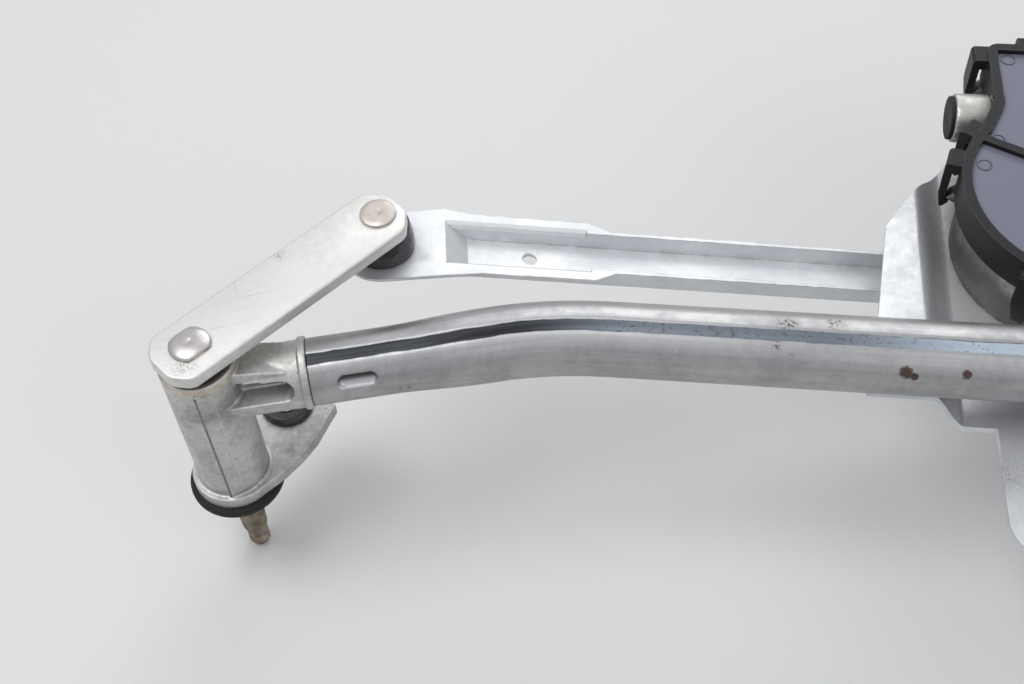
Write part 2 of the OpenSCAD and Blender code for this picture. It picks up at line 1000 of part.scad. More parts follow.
// Moulded worm wheel with a hub, a web and a toothed rim
module worm_wheel() {
    teeth = 60;
    tip = worm_offset - 8.5;
    root = tip - 2.6;
    pitch = 360 / teeth;
    wheel_w = 10;
    color("ivory")
        placed()
            translate([motor_x, motor_y, worm_z - wheel_w / 2])
                difference() {
                    linear_extrude(wheel_w)
                        polygon([
                            for (i = [0:teeth - 1])
                                for (p = [[root, -0.3], [tip, -0.14], [tip, 0.14], [root, 0.3]])
                                    p[0] * toward((i + p[1]) * pitch)
                        ]);
                    for (z = [-1, wheel_w - 2.5])
                        translate([0, 0, z])
                            difference() {
                                rod(root - 4, 0, 3.5);
                                rod(shaft_d, -1, 5);
                            }
                    rod(shaft_d / 2 + seat_gap, -1, wheel_w + 1);
                }
}

module crank_arm() {
    color("silver")
        placed()
            difference() {
                translate([0, 0, crank_z])
                    linear_extrude(crank_t)
                        strap(motor_at, hub_w / 2, crank_pin_at, crank_end_w / 2);
                translate(motor_at)
                    rod(seat_d / 2, crank_z - 1, crank_top + 1);
                translate(crank_pin_at)
                    rod(neck_d / 2, crank_z - 1, crank_top + 1);
            }
}

module crank_nut() {
    color(steel)
        placed()
            translate(motor_at)
                difference() {
                    intersection() {
                        translate([0, 0, nut_z])
                            cylinder(d = nut_w / cos(30), h = nut_t, $fn = 6);
                        cone(nut_w / 2 + 0.2, nut_w / 2 + 3, nut_z, crank_z);
                    }
                    rod(seat_d / 2, nut_z - 1, crank_z + 1);
                }
}

// Riveted end of the crank's stud
module crank_pin() {
    color(steel)
        placed()
            translate(crank_pin_at) {
                rod(neck_d / 2 - seat_gap, crank_z, crank_top);
                cone(rivet_d / 2, rivet_d / 2 - 1, crank_top, crank_top + 1.2);
            }
}

// LEVERS

// Outline of a lever along X, drawn in by inset
module lever_outline(inset) {
    half = lever_w / 2 - inset;
    facet = 0.47 * lever_w / 2;
    heel = lever_heel - inset;
    nose = lever_nose - inset;
    slant = 0.41 * inset;
    polygon([
        [-heel + 4.8, -half], [lever_len + nose - 5.8, -half], [lever_len + nose, -facet + slant],
        [lever_len + nose, facet - slant], [lever_len + nose - 5.8, half], [-heel + 4.8, half],
        [-heel, facet - slant], [-heel, -facet + slant]
    ]);
}

// Lever with soft top edges, a hole with flats for the spindle and a rivet hole
module lever() {
    rotate(lever_angle)
        difference() {
            hull() {
                translate([0, 0, lever_z])
                    linear_extrude(lever_t - lever_edge)
                        lever_outline(0);
                translate([0, 0, lever_z])
                    linear_extrude(lever_t - lever_edge / 4)
                        lever_outline(lever_edge / 3);
                translate([0, 0, lever_z])
                    linear_extrude(lever_t)
                        lever_outline(lever_edge);
            }
            spindle_tail(seat_gap, lever_z - 1, lever_top + 1);
            translate([lever_len, 0, 0])
                rod(neck_d / 2, lever_z - 1, lever_top + 1);
        }
}

// Flatted tail of the spindle, in the lever
module spindle_tail(grow, z0, z1) {
    r = spindle_d / 2 - 0.6;
    flats = head_flats - 2.4;
    intersection() {
        rod(r + grow, z0, z1);
        translate([-r - 1, -flats / 2 - grow, z0])
            cube([2 * r + 2, flats + 2 * grow, z1 - z0]);
    }
}

// Spindle with staked head, circlip groove, cone and thread
module spindle() {
    r = spindle_d / 2;
    groove = flange_z - 1.2;
    cone_z = -3;
    thread_z = cone_z - cone_len;
    end = thread_z - thread_len;
    rotate(lever_angle)
        intersection() {
            union() {
                rod(head_d / 2, lever_top, lever_top + head_h / 2);
                cone(head_d / 2, head_d / 2 - 1.4, lever_top + head_h / 2, lever_top + head_h);
            }
            translate([-head_d, -head_flats / 2, lever_top])
                cube([2 * head_d, head_flats, head_h]);
        }
    rotate(lever_angle)
        spindle_tail(0, lever_z - nothing, lever_top + nothing);
    rotate_extrude()
        polygon([
            [0, end], [thread_d / 2 - 1, end], [thread_d / 2, end + 1], [thread_d / 2, thread_z],
            [thread_d / 2 + 0.5, thread_z], [r, cone_z], [r, groove - 1.2],
            [r - 0.7, groove - 1.2], [r - 0.7, groove], [r, groove], [r, lever_z], [0, lever_z]
        ]);
}

// Washer between barrel and lever, which turns with the lever
module washer() {
    difference() {
        rod(barrel_d / 2 - 1.5, barrel_top + 0.1, lever_z);
        rod(spindle_d / 2 + seat_gap, barrel_top, lever_z + 1);
    }
}

// Open ring in the spindle's groove, under the lower bush
module circlip() {
    groove = flange_z - 1.2;
    difference() {
        rod(spindle_d / 2 + 2, groove - 1.1, groove - 0.1);
        rod(spindle_d / 2 - 0.6, groove - 2, groove + 1);
        translate([0, -2.5, groove - 2])
            cube([20, 5, 3]);
    }
}

// Ball stud riveted in a lever, with its ball lower by drop
module ball_stud(drop) {
    ball_z = link_z - drop + ball_up;
    neck_r = neck_d / 2;
    dimple = 1.6;
    rotate(lever_angle)
        translate([lever_len, 0, 0]) {
            difference() {
                union() {
                    cone(rivet_d / 2, rivet_d / 2 - 0.5, lever_top, lever_top + head_h - 0.6);
                    cone(rivet_d / 2 - 0.5, rivet_d / 2 - 2.4, lever_top + head_h - 0.6, lever_top + head_h);
                }
                translate([0, 0, lever_top + head_h + dimple / 2])
                    sphere(r = dimple);
            }
            rod(neck_r - seat_gap, lever_z - nothing, lever_top + nothing);
            rod(neck_r, ball_z, lever_z);
            if (drop > 0)
                rod(neck_r + 1.6, ball_z + socket_h, lever_z);
            translate([0, 0, ball_z])
                sphere(r = ball_r);
        }
}

module left_lever() {
    color(zinc)
        placed()
            lever();
}

module left_spindle() {
    color(steel)
        placed()
            spindle();
}

module left_ball_stud() {
    color("rosybrown")
        placed()
            ball_stud(0);
}

module left_washer() {
    color(black)
        placed()
            washer();
}

module left_circlip() {
    color(steel)
        placed()
            circlip();
}

module right_lever() {
    color(zinc)
        placed()
            translate(right_spindle_at)
                lever();
}

module right_spindle() {
    color(steel)
        placed()
            translate(right_spindle_at)
                spindle();
}

module right_ball_stud() {
    color("rosybrown")
        placed()
            translate(right_spindle_at)
                ball_stud(right_drop);
}

module right_washer() {
    color(black)
        placed()
            translate(right_spindle_at)
                washer();
}

module right_circlip() {
    color(steel)
        placed()
            translate(right_spindle_at)
                circlip();
}

// LINKS

// Plan outline of a link's sheet: round eyes, tapered flanges and a plain channel
module link_outline(length) {
    eye = eye_w / 2;
    channel = channel_w / 2 - 0.6;
    half = [
        [0, eye], [eye_flat, eye], [eye_flat + eye_neck, hat_w / 2 + 0.2], [hat_len, hat_w / 2],
        [hat_len + hat_cut, channel],
        [length - hat_len - hat_cut, channel], [length - hat_len, hat_w / 2],
        [length - eye_flat - eye_neck, hat_w / 2 + 0.2], [length - eye_flat, eye], [length, eye]
    ];
    circle(eye);
    translate([length, 0])
        circle(eye);
    polygon(concat(half, [for (i = [len(half) - 1:-1:0]) [half[i].x, -half[i].y]]));
}

// Half of a section with leaning walls, given by its half width at the link's top face
function leaning_half(half, depth) = let (lean = channel_lean / channel_h) [
    [half - lean * (depth + 1), -depth - 1], [half + 2 * lean, 2]
];

// Half of the opening between two round shoulders
function shoulder_half(half) = concat(
    [[half - 3, 0.05 - shoulder_r], [half - 0.45, 0.05 - shoulder_r]],
    [for (a = [165:-15:90]) [half, 0.04 - shoulder_r] + shoulder_r * (toward(a) + [1, 0])],
    [[half + shoulder_r, 2]]
);

// Section given by one half and its mirror image
module both_halves(half) {
    polygon(concat(half, [for (i = [len(half) - 1:-1:0]) [-half[i].x, half[i].y]]));
}

// Section drawn along the falling channel of a link
module along_channel(z, fall, from, to) {
    translate([eye_flat, 0, z])
        rotate([0, fall, 0])
            translate([from, 0, 0])
                rotate([90, 0, 90])
                    linear_extrude(to - from)
                        children();
}

// Pressed link: flat eyes, between them a channel that starts with ramps and, near the
// eyes, has flanges with round shoulders
module link(length, z0, z1) {
    run_x = length - 2 * eye_flat;
    fall = atan2(z0 - z1, run_x);
    run = norm([run_x, z0 - z1]);
    hat = hat_len - eye_flat;
    drop = (z0 - z1) / run_x * ramp_len;
    ends = [eye_flat, length - eye_flat];
    ramp = [ends[0] + ramp_len, ends[1] - ramp_len];
    floor_h = channel_h - link_t;
    top = [[-eye_w, z0], [ends[0], z0], [ends[1], z1], [length + eye_w, z1]];
    low = [for (i = [3:-1:0]) [top[i].x, top[i].y - link_t]];
    half_w = channel_w / 2;
    difference() {
        union() {
            intersection() {
                side_plate(concat(top, low), 2 * eye_w);
                translate([0, 0, z1 - channel_h])
                    linear_extrude(z0 - z1 + 2 * channel_h)
                        link_outline(length);
            }
            intersection() {
                side_plate([
                    [ends[0], z0], [ends[1], z1], [ends[1], z1 - link_t], [ramp[1], z1 + drop - channel_h],
                    [ramp[0], z0 - drop - channel_h], [ends[0], z0 - link_t]
                ], 2 * eye_w);
                along_channel(z0, fall, -1, run + 1)
                    both_halves(leaning_half(half_w, channel_h));
            }
        }
        intersection() {
            side_plate([
                [ends[0], z0], [ramp[0], z0 - drop - floor_h], [ramp[1], z1 + drop - floor_h], [ends[1], z1],
                [ends[1], z1 + link_t], [ends[0], z0 + link_t]
            ], 2 * eye_w);
            union() {
                along_channel(z0, fall, -1, run + 1)
                    both_halves(leaning_half(half_w - link_t, floor_h));
                for (from = [-0.5, run - hat])
                    along_channel(z0, fall, from, from + hat + 0.5)
                        both_halves(shoulder_half(half_w - link_t));
            }
        }
        for (x = [0, length])
            translate([x, 0, 0])
                rod(socket_waist_d / 2, z1 - channel_h, z0 + channel_h);
        translate([gauge_hole_at, 0, 0])
            rod(gauge_hole_d / 2, z1 - channel_h, z0 + channel_h);
    }
}

// Plastic socket in an eye: collar up to rise, waist and cup, open below or closed
module socket(z, rise, collar_r, ball_z, closed) {
    low = closed ? ball_z - ball_r - 2.4 : z - link_t - socket_lip + 4;
    difference() {
        union() {
            cone(collar_r, collar_r - 1, z + rise / 2, z + rise);
            rod(collar_r, z, z + rise / 2);
            rod(socket_waist_d / 2 - seat_gap, low, z);
            cone(socket_waist_d / 2 - 0.6, socket_lip_r, low, z - link_t);
        }
        translate([0, 0, ball_z])
            sphere(r = ball_r + ball_gap);
        rod(socket_mouth_r, ball_z, z + rise + 1);
        if (!closed)
            rod(socket_mouth_r, low - 1, ball_z);
    }
}

// Places a left link's pieces with X along it, from the lever's ball
module on_left_link() {
    translate(left_ball_at)
        rotate(bearing(left_ball_at, crank_pin_at))
            children();
}

// Places a right link's pieces with X along it, from the lever's ball
module on_right_link() {
    translate(right_ball_at)
        rotate(bearing(right_ball_at, crank_pin_at))
            children();
}

module left_link() {
    color(zinc)
        placed()
            on_left_link()
                link(left_link_len, link_z, left_eye_z);
}

module left_lever_socket() {
    color(black)
        placed()
            on_left_link()
                socket(link_z, socket_h - 0.5, socket_d / 2, link_z + ball_up, true);
}

module left_crank_socket() {
    color(black)
        placed()
            translate(crank_pin_at)
                socket(left_eye_z, 10, socket_d / 2 - 0.5, left_eye_z + 1, false);
}

// Upper half of the crank's double stud, with the ball of the left link
module left_crank_ball() {
    color(steel)
        placed()
            translate(crank_pin_at) {
                rod(neck_d / 2, stud_end_z, crank_z - slide_gap);
                rod(neck_d / 2 + 2.5, left_eye_z + 10.5, crank_z - slide_gap);
                translate([0, 0, left_eye_z + 1])
                    sphere(r = ball_r);
            }
}

module right_link() {
    color(zinc)
        placed()
            on_right_link()
                link(right_link_len, right_link_z, right_eye_z);
}

module right_lever_socket() {
    color(black)
        placed()
            on_right_link()
                socket(right_link_z, socket_h - 0.5, socket_d / 2, right_link_z + ball_up, true);
}

module right_crank_socket() {
    color(black)
        placed()
            translate(crank_pin_at)
                socket(right_eye_z, 3.6, socket_d / 2 - 0.5, right_eye_z + right_ball_lift, true);
}

// Lower half of the crank's double stud, with the ball of the right link
module right_crank_ball() {
    color(steel)
        placed()
            translate(crank_pin_at) {
                rod(neck_d / 2, right_eye_z + right_ball_lift, stud_end_z - slide_gap);
                translate([0, 0, right_eye_z + right_ball_lift])
                    sphere(r = ball_r);
            }
}

frame_tube();
tube_welds();
left_pivot_housing();
right_pivot_housing();
left_bearing_bushes();
right_bearing_bushes();
left_seal();
right_seal();
left_mount_grommet();
right_mount_grommet();
plate_mount_grommet();
left_mount_sleeve();
right_mount_sleeve();
plate_mount_sleeve();
motor_plate();
motor_screws();
gear_housing();
gear_cover();
thrust_cap();
output_bush();
motor_can();
can_screws();
output_shaft();
worm_wheel();
crank_arm();
crank_nut();
crank_pin();
left_lever();
left_spindle();
left_ball_stud();
left_washer();
left_circlip();
right_lever();
right_spindle();
right_ball_stud();
right_washer();
right_circlip();
left_link();
left_lever_socket();
left_crank_socket();
left_crank_ball();
right_link();
right_lever_socket();
right_crank_socket();
right_crank_ball();
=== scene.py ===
"""Windscreen wiper linkage: the looks of its tube frame, pivots, levers, links, crank and gear motor."""

import json
import logging
import math
from dataclasses import dataclass, field
from enum import Enum
from functools import cached_property
from typing import Iterable, Sequence

import bmesh
import bpy
from mathutils import Matrix, Vector

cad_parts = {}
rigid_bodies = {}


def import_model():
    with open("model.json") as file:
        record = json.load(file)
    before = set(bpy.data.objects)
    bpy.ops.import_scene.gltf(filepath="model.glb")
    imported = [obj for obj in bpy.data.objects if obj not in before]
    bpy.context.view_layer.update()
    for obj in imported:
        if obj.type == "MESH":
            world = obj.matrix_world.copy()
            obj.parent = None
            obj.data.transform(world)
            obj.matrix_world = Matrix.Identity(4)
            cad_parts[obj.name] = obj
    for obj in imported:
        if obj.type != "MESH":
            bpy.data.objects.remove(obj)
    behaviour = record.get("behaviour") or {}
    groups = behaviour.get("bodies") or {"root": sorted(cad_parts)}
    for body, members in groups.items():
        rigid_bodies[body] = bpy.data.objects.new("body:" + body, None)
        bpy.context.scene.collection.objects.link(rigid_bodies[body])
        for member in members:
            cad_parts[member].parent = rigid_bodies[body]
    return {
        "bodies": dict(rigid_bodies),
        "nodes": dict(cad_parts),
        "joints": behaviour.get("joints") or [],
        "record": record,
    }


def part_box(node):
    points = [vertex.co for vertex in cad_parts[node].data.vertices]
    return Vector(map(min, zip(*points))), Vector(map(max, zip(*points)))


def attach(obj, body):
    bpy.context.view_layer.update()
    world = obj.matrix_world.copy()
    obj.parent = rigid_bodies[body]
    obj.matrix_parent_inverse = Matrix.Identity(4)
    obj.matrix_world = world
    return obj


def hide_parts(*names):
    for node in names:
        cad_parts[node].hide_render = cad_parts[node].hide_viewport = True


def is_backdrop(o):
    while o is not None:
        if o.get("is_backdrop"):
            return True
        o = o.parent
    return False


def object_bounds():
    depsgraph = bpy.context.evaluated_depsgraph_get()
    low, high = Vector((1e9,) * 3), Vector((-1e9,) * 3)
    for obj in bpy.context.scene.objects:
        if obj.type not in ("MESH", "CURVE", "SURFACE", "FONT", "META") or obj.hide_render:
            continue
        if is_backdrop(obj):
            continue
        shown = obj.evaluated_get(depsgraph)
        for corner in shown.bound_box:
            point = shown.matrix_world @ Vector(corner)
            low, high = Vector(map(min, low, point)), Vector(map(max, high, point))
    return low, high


LOG = logging.getLogger("wiper_linkage")
MM = 0.001
FULL_TURN = 2 * math.pi
FLOOR_GAP = 0.0002

Colour = tuple[float, float, float]
Point = tuple[float, float, float]
Outline = Sequence[tuple[float, float]]
Socket = bpy.types.NodeSocket


class Side(Enum):
    """The two ends of the frame."""

    LEFT = "left"
    RIGHT = "right"


class Body(Enum):
    """The rigid bodies that pieces ride on."""

    FRAME = "frame"
    CRANK = "crank"
    LEFT_LEVER = "left_lever_assembly"
    RIGHT_LEVER = "right_lever_assembly"
    LEFT_LINK = "left_link_assembly"
    RIGHT_LINK = "right_link_assembly"


class Round(Enum):
    """How the edges of a piece are softened."""

    PRESSED = (0.45, 3)
    TURNED = (0.3, 2)
    MOULDED = (0.6, 3)
    SHARP = (0.2, 2)
    DRAWN = (1.2, 4)

    @property
    def width(self) -> float:
        """Width of the rounding, in metres."""
        return self.value[0] * MM

    @property
    def segments(self) -> int:
        """Number of faces across the rounding."""
        return self.value[1]


def rgba(colour: Colour) -> tuple[float, float, float, float]:
    """The colour with full alpha."""
    return (*colour, 1.0)


def smooth_step(low: float, high: float, value: float) -> float:
    """Smooth rise from 0 at low to 1 at high.

    Args:
        low: Value at which the rise starts.
        high: Value at which the rise ends.
        value: The value to place.

    Returns:
        The height of the rise, from 0 to 1.
    """
    share = min(1.0, max(0.0, (value - low) / (high - low)))
    return share * share * (3 - 2 * share)


class Graph:
    """A node tree with short ways to add and join its nodes."""

    def __init__(self, tree: bpy.types.NodeTree) -> None:
        """Keeps the tree that the nodes go into."""
        self.tree = tree

    def put(self, target: Socket, value: object) -> None:
        """Links a socket, or sets its plain value.

        Args:
            target: The input socket.
            value: An output socket to link, or a plain value.
        """
        if isinstance(value, bpy.types.NodeSocket):
            self.tree.links.new(value, target)
        else:
            target.default_value = value

    def add(self, kind: str, inputs: dict | None = None, **settings: object) -> bpy.types.Node:
        """Adds a node.

        Args:
            kind: Blender's name of the node type.
            inputs: Values or sockets by input name or index.
            **settings: Properties of the node.

        Returns:
            The new node.
        """
        node = self.tree.nodes.new(kind)
        for name, value in settings.items():
            setattr(node, name, value)
        for key, value in (inputs or {}).items():
            self.put(node.inputs[key], value)
        return node

    def group(self, tree: bpy.types.NodeTree, **inputs: object) -> bpy.types.Node:
        """Places a shared effect.

        Args:
            tree: The effect's node group.
            **inputs: Values or sockets by input name.

        Returns:
            The group node.
        """
        node = self.tree.nodes.new("ShaderNodeGroup")
        node.node_tree = tree
        for key, value in inputs.items():
            self.put(node.inputs[key], value)
        return node

    def math(self, operation: str, a: object, b: object = 0.0, clamp: bool = False) -> Socket:
        """Adds a Math node and gives its result."""
        return self.add("ShaderNodeMath", {0: a, 1: b}, operation=operation, use_clamp=clamp).outputs[0]

    def measure(self, operation: str, a: object, b: object) -> Socket:
        """Adds a Vector Math node and gives its number."""
        return self.add("ShaderNodeVectorMath", {0: a, 1: b}, operation=operation).outputs["Value"]

    def part(self, vector: object, axis: str) -> Socket:
        """One coordinate of a vector."""
        return self.add("ShaderNodeSeparateXYZ", {0: vector}).outputs[axis]

    def noise(self, where: object, scale: object, detail: float = 4.0, rough: float = 0.55) -> Socket:
        """Adds a noise texture and gives its value."""
        inputs = {"Vector": where, "Scale": scale, "Detail": detail, "Roughness": rough}
        return self.add("ShaderNodeTexNoise", inputs).outputs[0]

    def waver(self, where: object, scale: float, size: float, detail: float = 4.0) -> Socket:
        """Noise about zero, as wide as the size."""
        return self.math("MULTIPLY", self.math("SUBTRACT", self.noise(where, scale, detail), 0.5), size)

    def stretch(self, where: object, factors: Point) -> Socket:
        """Multiplies a position by a factor on each axis."""
        return self.add("ShaderNodeVectorMath", {0: where, 1: factors}, operation="MULTIPLY").outputs[0]

    def turned(self, where: object, angle: float) -> Socket:
        """Turns a position about Z."""
        return self.add("ShaderNodeMapping", {"Vector": where, "Rotation": (0, 0, angle)}).outputs[0]

    def fit(self, value: object, low: object, high: object, to_low: float = 0.0,
            to_high: float = 1.0) -> Socket:
        """Maps a value smoothly from one range to another.

        Args:
            value: The value to map.
            low: Value that becomes to_low.
            high: Value that becomes to_high.
            to_low: Result at low.
            to_high: Result at high.

        Returns:
            The mapped value's socket.
        """
        inputs = {"Value": value, "From Min": low, "From Max": high, "To Min": to_low, "To Max": to_high}
        return self.add("ShaderNodeMapRange", inputs, interpolation_type="SMOOTHSTEP").outputs[0]

    def mix(self, share: object, a: object, b: object) -> Socket:
        """Mixes two colours.

        Args:
            share: Share of the second colour.
            a: First colour, plain or a socket.
            b: Second colour, plain or a socket.

        Returns:
            The mixed colour's socket.
        """
        node = self.add("ShaderNodeMix", data_type="RGBA")
        for index, value in ((0, share), (6, a), (7, b)):
            self.put(node.inputs[index], rgba(value) if isinstance(value, tuple) else value)
        return node.outputs[2]

    def blend(self, share: object, a: object, b: object) -> Socket:
        """Mixes two plain values and gives the result."""
        return self.add("ShaderNodeMix", {0: share, 2: a, 3: b}, data_type="FLOAT").outputs[0]


class Effects:
    """Shader node groups that several finishes share, each built on first use."""

    # Levels between which each mark fades in.
    BLOTCHES = (0.36, 0.64)
    STREAKS = (0.35, 0.68)
    PATCH_RIM = (1.55, 0.55)
    SPECKS = (0.47, 0.6)
    EDGE_TURN = (0.992, 0.9)
    WORN_EDGES = (0.3, 0.6)
    # Ambient occlusion and noise levels of the painted shade and dirt in corners.
    SHUT_CORNERS = (0.85, 0.35)
    PATCHY_CORNERS = (0.3, 0.65)
    SCORES = (0.69, 0.74)
    SCORED_PATCHES = (0.45, 0.62)

    def start(self, name: str, output: str, points: Sequence[str] = ("Vector",), **numbers: float) -> tuple:
        """Starts a node group.

        Args:
            name: Name of the group.
            output: Name of its float output.
            points: Names of its vector inputs.
            **numbers: Names and defaults of its float inputs.

        Returns:
            The graph, the group's inputs by name and its outputs.
        """
        tree = bpy.data.node_groups.new(name, "ShaderNodeTree")
        for label in points:
            tree.interface.new_socket(name=label, in_out="INPUT", socket_type="NodeSocketVector")
        for label, default in numbers.items():
            item = tree.interface.new_socket(name=label, in_out="INPUT", socket_type="NodeSocketFloat")
            item.default_value = default
        tree.interface.new_socket(name=output, in_out="OUTPUT", socket_type="NodeSocketFloat")
        graph = Graph(tree)
        return graph, graph.add("NodeGroupInput").outputs, graph.add("NodeGroupOutput").inputs

    @cached_property
    def mottle(self) -> bpy.types.NodeTree:
        """Soft blotches with finer ones in them."""
        graph, given, out = self.start("mottle", "Value", Scale=60.0)
        coarse = graph.noise(given["Vector"], given["Scale"], detail=6.0, rough=0.6)
        finer = graph.math("MULTIPLY", given["Scale"], 7.0)
        fine = graph.noise(given["Vector"], finer, detail=3.0, rough=0.6)
        graph.put(out[0], graph.fit(graph.blend(0.35, coarse, fine), *self.BLOTCHES))
        return graph.tree

    @cached_property
    def streaks(self) -> bpy.types.NodeTree:
        """Long drawn marks along X."""
        graph, given, out = self.start("streaks", "Value", Scale=500.0)
        drawn = graph.stretch(given["Vector"], (0.02, 1.0, 1.0))
        lines = graph.noise(drawn, given["Scale"], detail=5.0, rough=0.65)
        graph.put(out[0], graph.fit(lines, *self.STREAKS))
        return graph.tree

    @cached_property
    def spot(self) -> bpy.types.NodeTree:
        """A speckled patch round a point, more or less solid."""
        graph, given, out = self.start("spot", "Mask", ("Vector", "Centre"), Radius=0.005, Scale=900.0,
                                       Solid=0.2)
        away = graph.measure("DISTANCE", given["Vector"], given["Centre"])
        coarser = graph.math("MULTIPLY", given["Scale"], 0.25)
        ragged = graph.noise(given["Vector"], coarser, detail=5.0, rough=0.7)
        reach = graph.math("ADD", graph.math("DIVIDE", away, given["Radius"]), ragged)
        near = graph.fit(reach, *self.PATCH_RIM)
        grains = graph.noise(given["Vector"], given["Scale"], detail=4.0, rough=0.7)
        filled = graph.blend(given["Solid"], graph.fit(grains, *self.SPECKS), 1.0)
        graph.put(out[0], graph.math("MULTIPLY", near, filled))
        return graph.tree

    @cached_property
    def wear(self) -> bpy.types.NodeTree:
        """Bare metal along edges, broken up by noise."""
        graph, given, out = self.start("edge_wear", "Mask", Radius=0.0008, Scale=250.0)
        soft = graph.add("ShaderNodeBevel", {"Radius": given["Radius"]}, samples=4).outputs[0]
        plain = graph.add("ShaderNodeNewGeometry").outputs["Normal"]
        edge = graph.fit(graph.measure("DOT_PRODUCT", soft, plain), *self.EDGE_TURN)
        broken = graph.fit(graph.noise(given["Vector"], given["Scale"]), *self.WORN_EDGES)
        graph.put(out[0], graph.math("MULTIPLY", edge, broken, clamp=True))
        return graph.tree

    @cached_property
    def shade_and_grime(self) -> bpy.types.NodeTree:
        """Painted shade and dirt in corners: ambient occlusion, broken up by noise."""
        graph, given, out = self.start("corner_shade_and_grime", "Mask", Reach=0.0065, Scale=120.0)
        shut = graph.add("ShaderNodeAmbientOcclusion", {"Distance": given["Reach"]}, samples=6)
        corner = graph.fit(shut.outputs["AO"], *self.SHUT_CORNERS)
        patchy = graph.fit(graph.noise(given["Vector"], given["Scale"], detail=5.0), *self.PATCHY_CORNERS)
        graph.put(out[0], graph.math("MULTIPLY", corner, patchy, clamp=True))
        return graph.tree

    @cached_property
    def scratches(self) -> bpy.types.NodeTree:
        """Thin scratches in two directions."""
        graph, given, out = self.start("scratches", "Mask", Scale=400.0)
        found = []
        for turn in (0.5, 2.1):
            drawn = graph.stretch(graph.turned(given["Vector"], turn), (0.03, 1.0, 1.0))
            found.append(graph.fit(graph.noise(drawn, given["Scale"], detail=2.0), *self.SCORES))
        patchy = graph.fit(graph.noise(given["Vector"], 45.0), *self.SCORED_PATCHES)
        graph.put(out[0], graph.math("MULTIPLY", graph.math("MAXIMUM", *found), patchy, clamp=True))
        return graph.tree


@dataclass
class Look:
    """A material in the making, with its colour and roughness so far."""

    graph: Graph
    effects: Effects
    spot: Socket
    colour: Socket
    rough: Socket

    def mask(self, effect: bpy.types.NodeTree, **inputs: object) -> Socket:
        """The result of a shared effect at this spot."""
        return self.graph.group(effect, **{"Vector": self.spot, **inputs}).outputs[0]

    def tint(self, mask: Socket, colour: object, strength: float | None = None) -> None:
        """Lays a colour over the look so far.

        Args:
            mask: Where the colour goes.
            colour: The colour, plain or a socket.
            strength: Its share where the mask is full, if not all of it.
        """
        share = mask if strength is None else self.graph.math("MULTIPLY", mask, strength)
        self.colour = self.graph.mix(share, self.colour, colour)

    def roughen(self, mask: Socket, rough: float) -> None:
        """Moves the roughness to another value where the mask is full."""
        self.rough = self.graph.blend(mask, self.rough, rough)


@dataclass(frozen=True)
class Finish:
    """A mottled surface with a fine grain, worn edges, and corners darkened by painted shade and dirt."""

    name: str
    colour: Colour
    shade: Colour
    metallic: float = 0.0
    rough: tuple[float, float] = (0.35, 0.5)
    mottle: float = 60.0
    grain: float = 1200.0
    grain_depth: float = 0.00004
    grain_strength: float = 0.6
    worn: Colour = (0.8, 0.8, 0.8)
    wear: float = 0.0
    # Colour of the painted shade and dirt in corners.
    dirt_and_shade: Colour = (0.09, 0.08, 0.07)
    dirt_and_shade_rough: float = 0.75
    shade_and_grime: float = 0.0
    coat: float = 0.0
    specular: float = 0.5

    def where(self, graph: Graph) -> Socket:
        """Position on the piece, in the part's own frame."""
        return graph.add("ShaderNodeTexCoord").outputs["Object"]

    def marks(self, look: Look) -> None:
        """Adds the finish's own marks to the look; a plain finish has none."""

    def material(self, effects: Effects) -> bpy.types.Material:
        """Builds the material.

        Args:
            effects: The shared effects.

        Returns:
            The new material.
        """
        made = bpy.data.materials.new(self.name)
        made.use_nodes = True
        made.diffuse_color = rgba(self.colour)
        graph = Graph(made.node_tree)
        spot = self.where(graph)
        blotch = graph.group(effects.mottle, Vector=spot, Scale=self.mottle).outputs[0]
        look = Look(graph, effects, spot, graph.mix(blotch, self.colour, self.shade),
                    graph.blend(blotch, *self.rough))
        self.marks(look)
        # Painted shade and dirt: corners found by ambient occlusion turn darker and rougher.
        if self.shade_and_grime:
            amount = graph.math("MULTIPLY", look.mask(effects.shade_and_grime), self.shade_and_grime, clamp=True)
            look.tint(amount, self.dirt_and_shade)
            look.roughen(amount, self.dirt_and_shade_rough)
        if self.wear:
            look.tint(graph.math("MULTIPLY", look.mask(effects.wear), self.wear, clamp=True), self.worn)
        fine = graph.noise(spot, self.grain, detail=3.0, rough=0.6)
        bump = graph.add("ShaderNodeBump", {"Height": fine, "Distance": self.grain_depth,
                                            "Strength": self.grain_strength})
        shader = made.node_tree.nodes["Principled BSDF"]
        inputs = {"Base Color": look.colour, "Roughness": look.rough, "Metallic": self.metallic,
                  "Coat Weight": self.coat, "Specular IOR Level": self.specular, "Normal": bump.outputs[0]}
        for name, value in inputs.items():
            graph.put(shader.inputs[name], value)
        return made


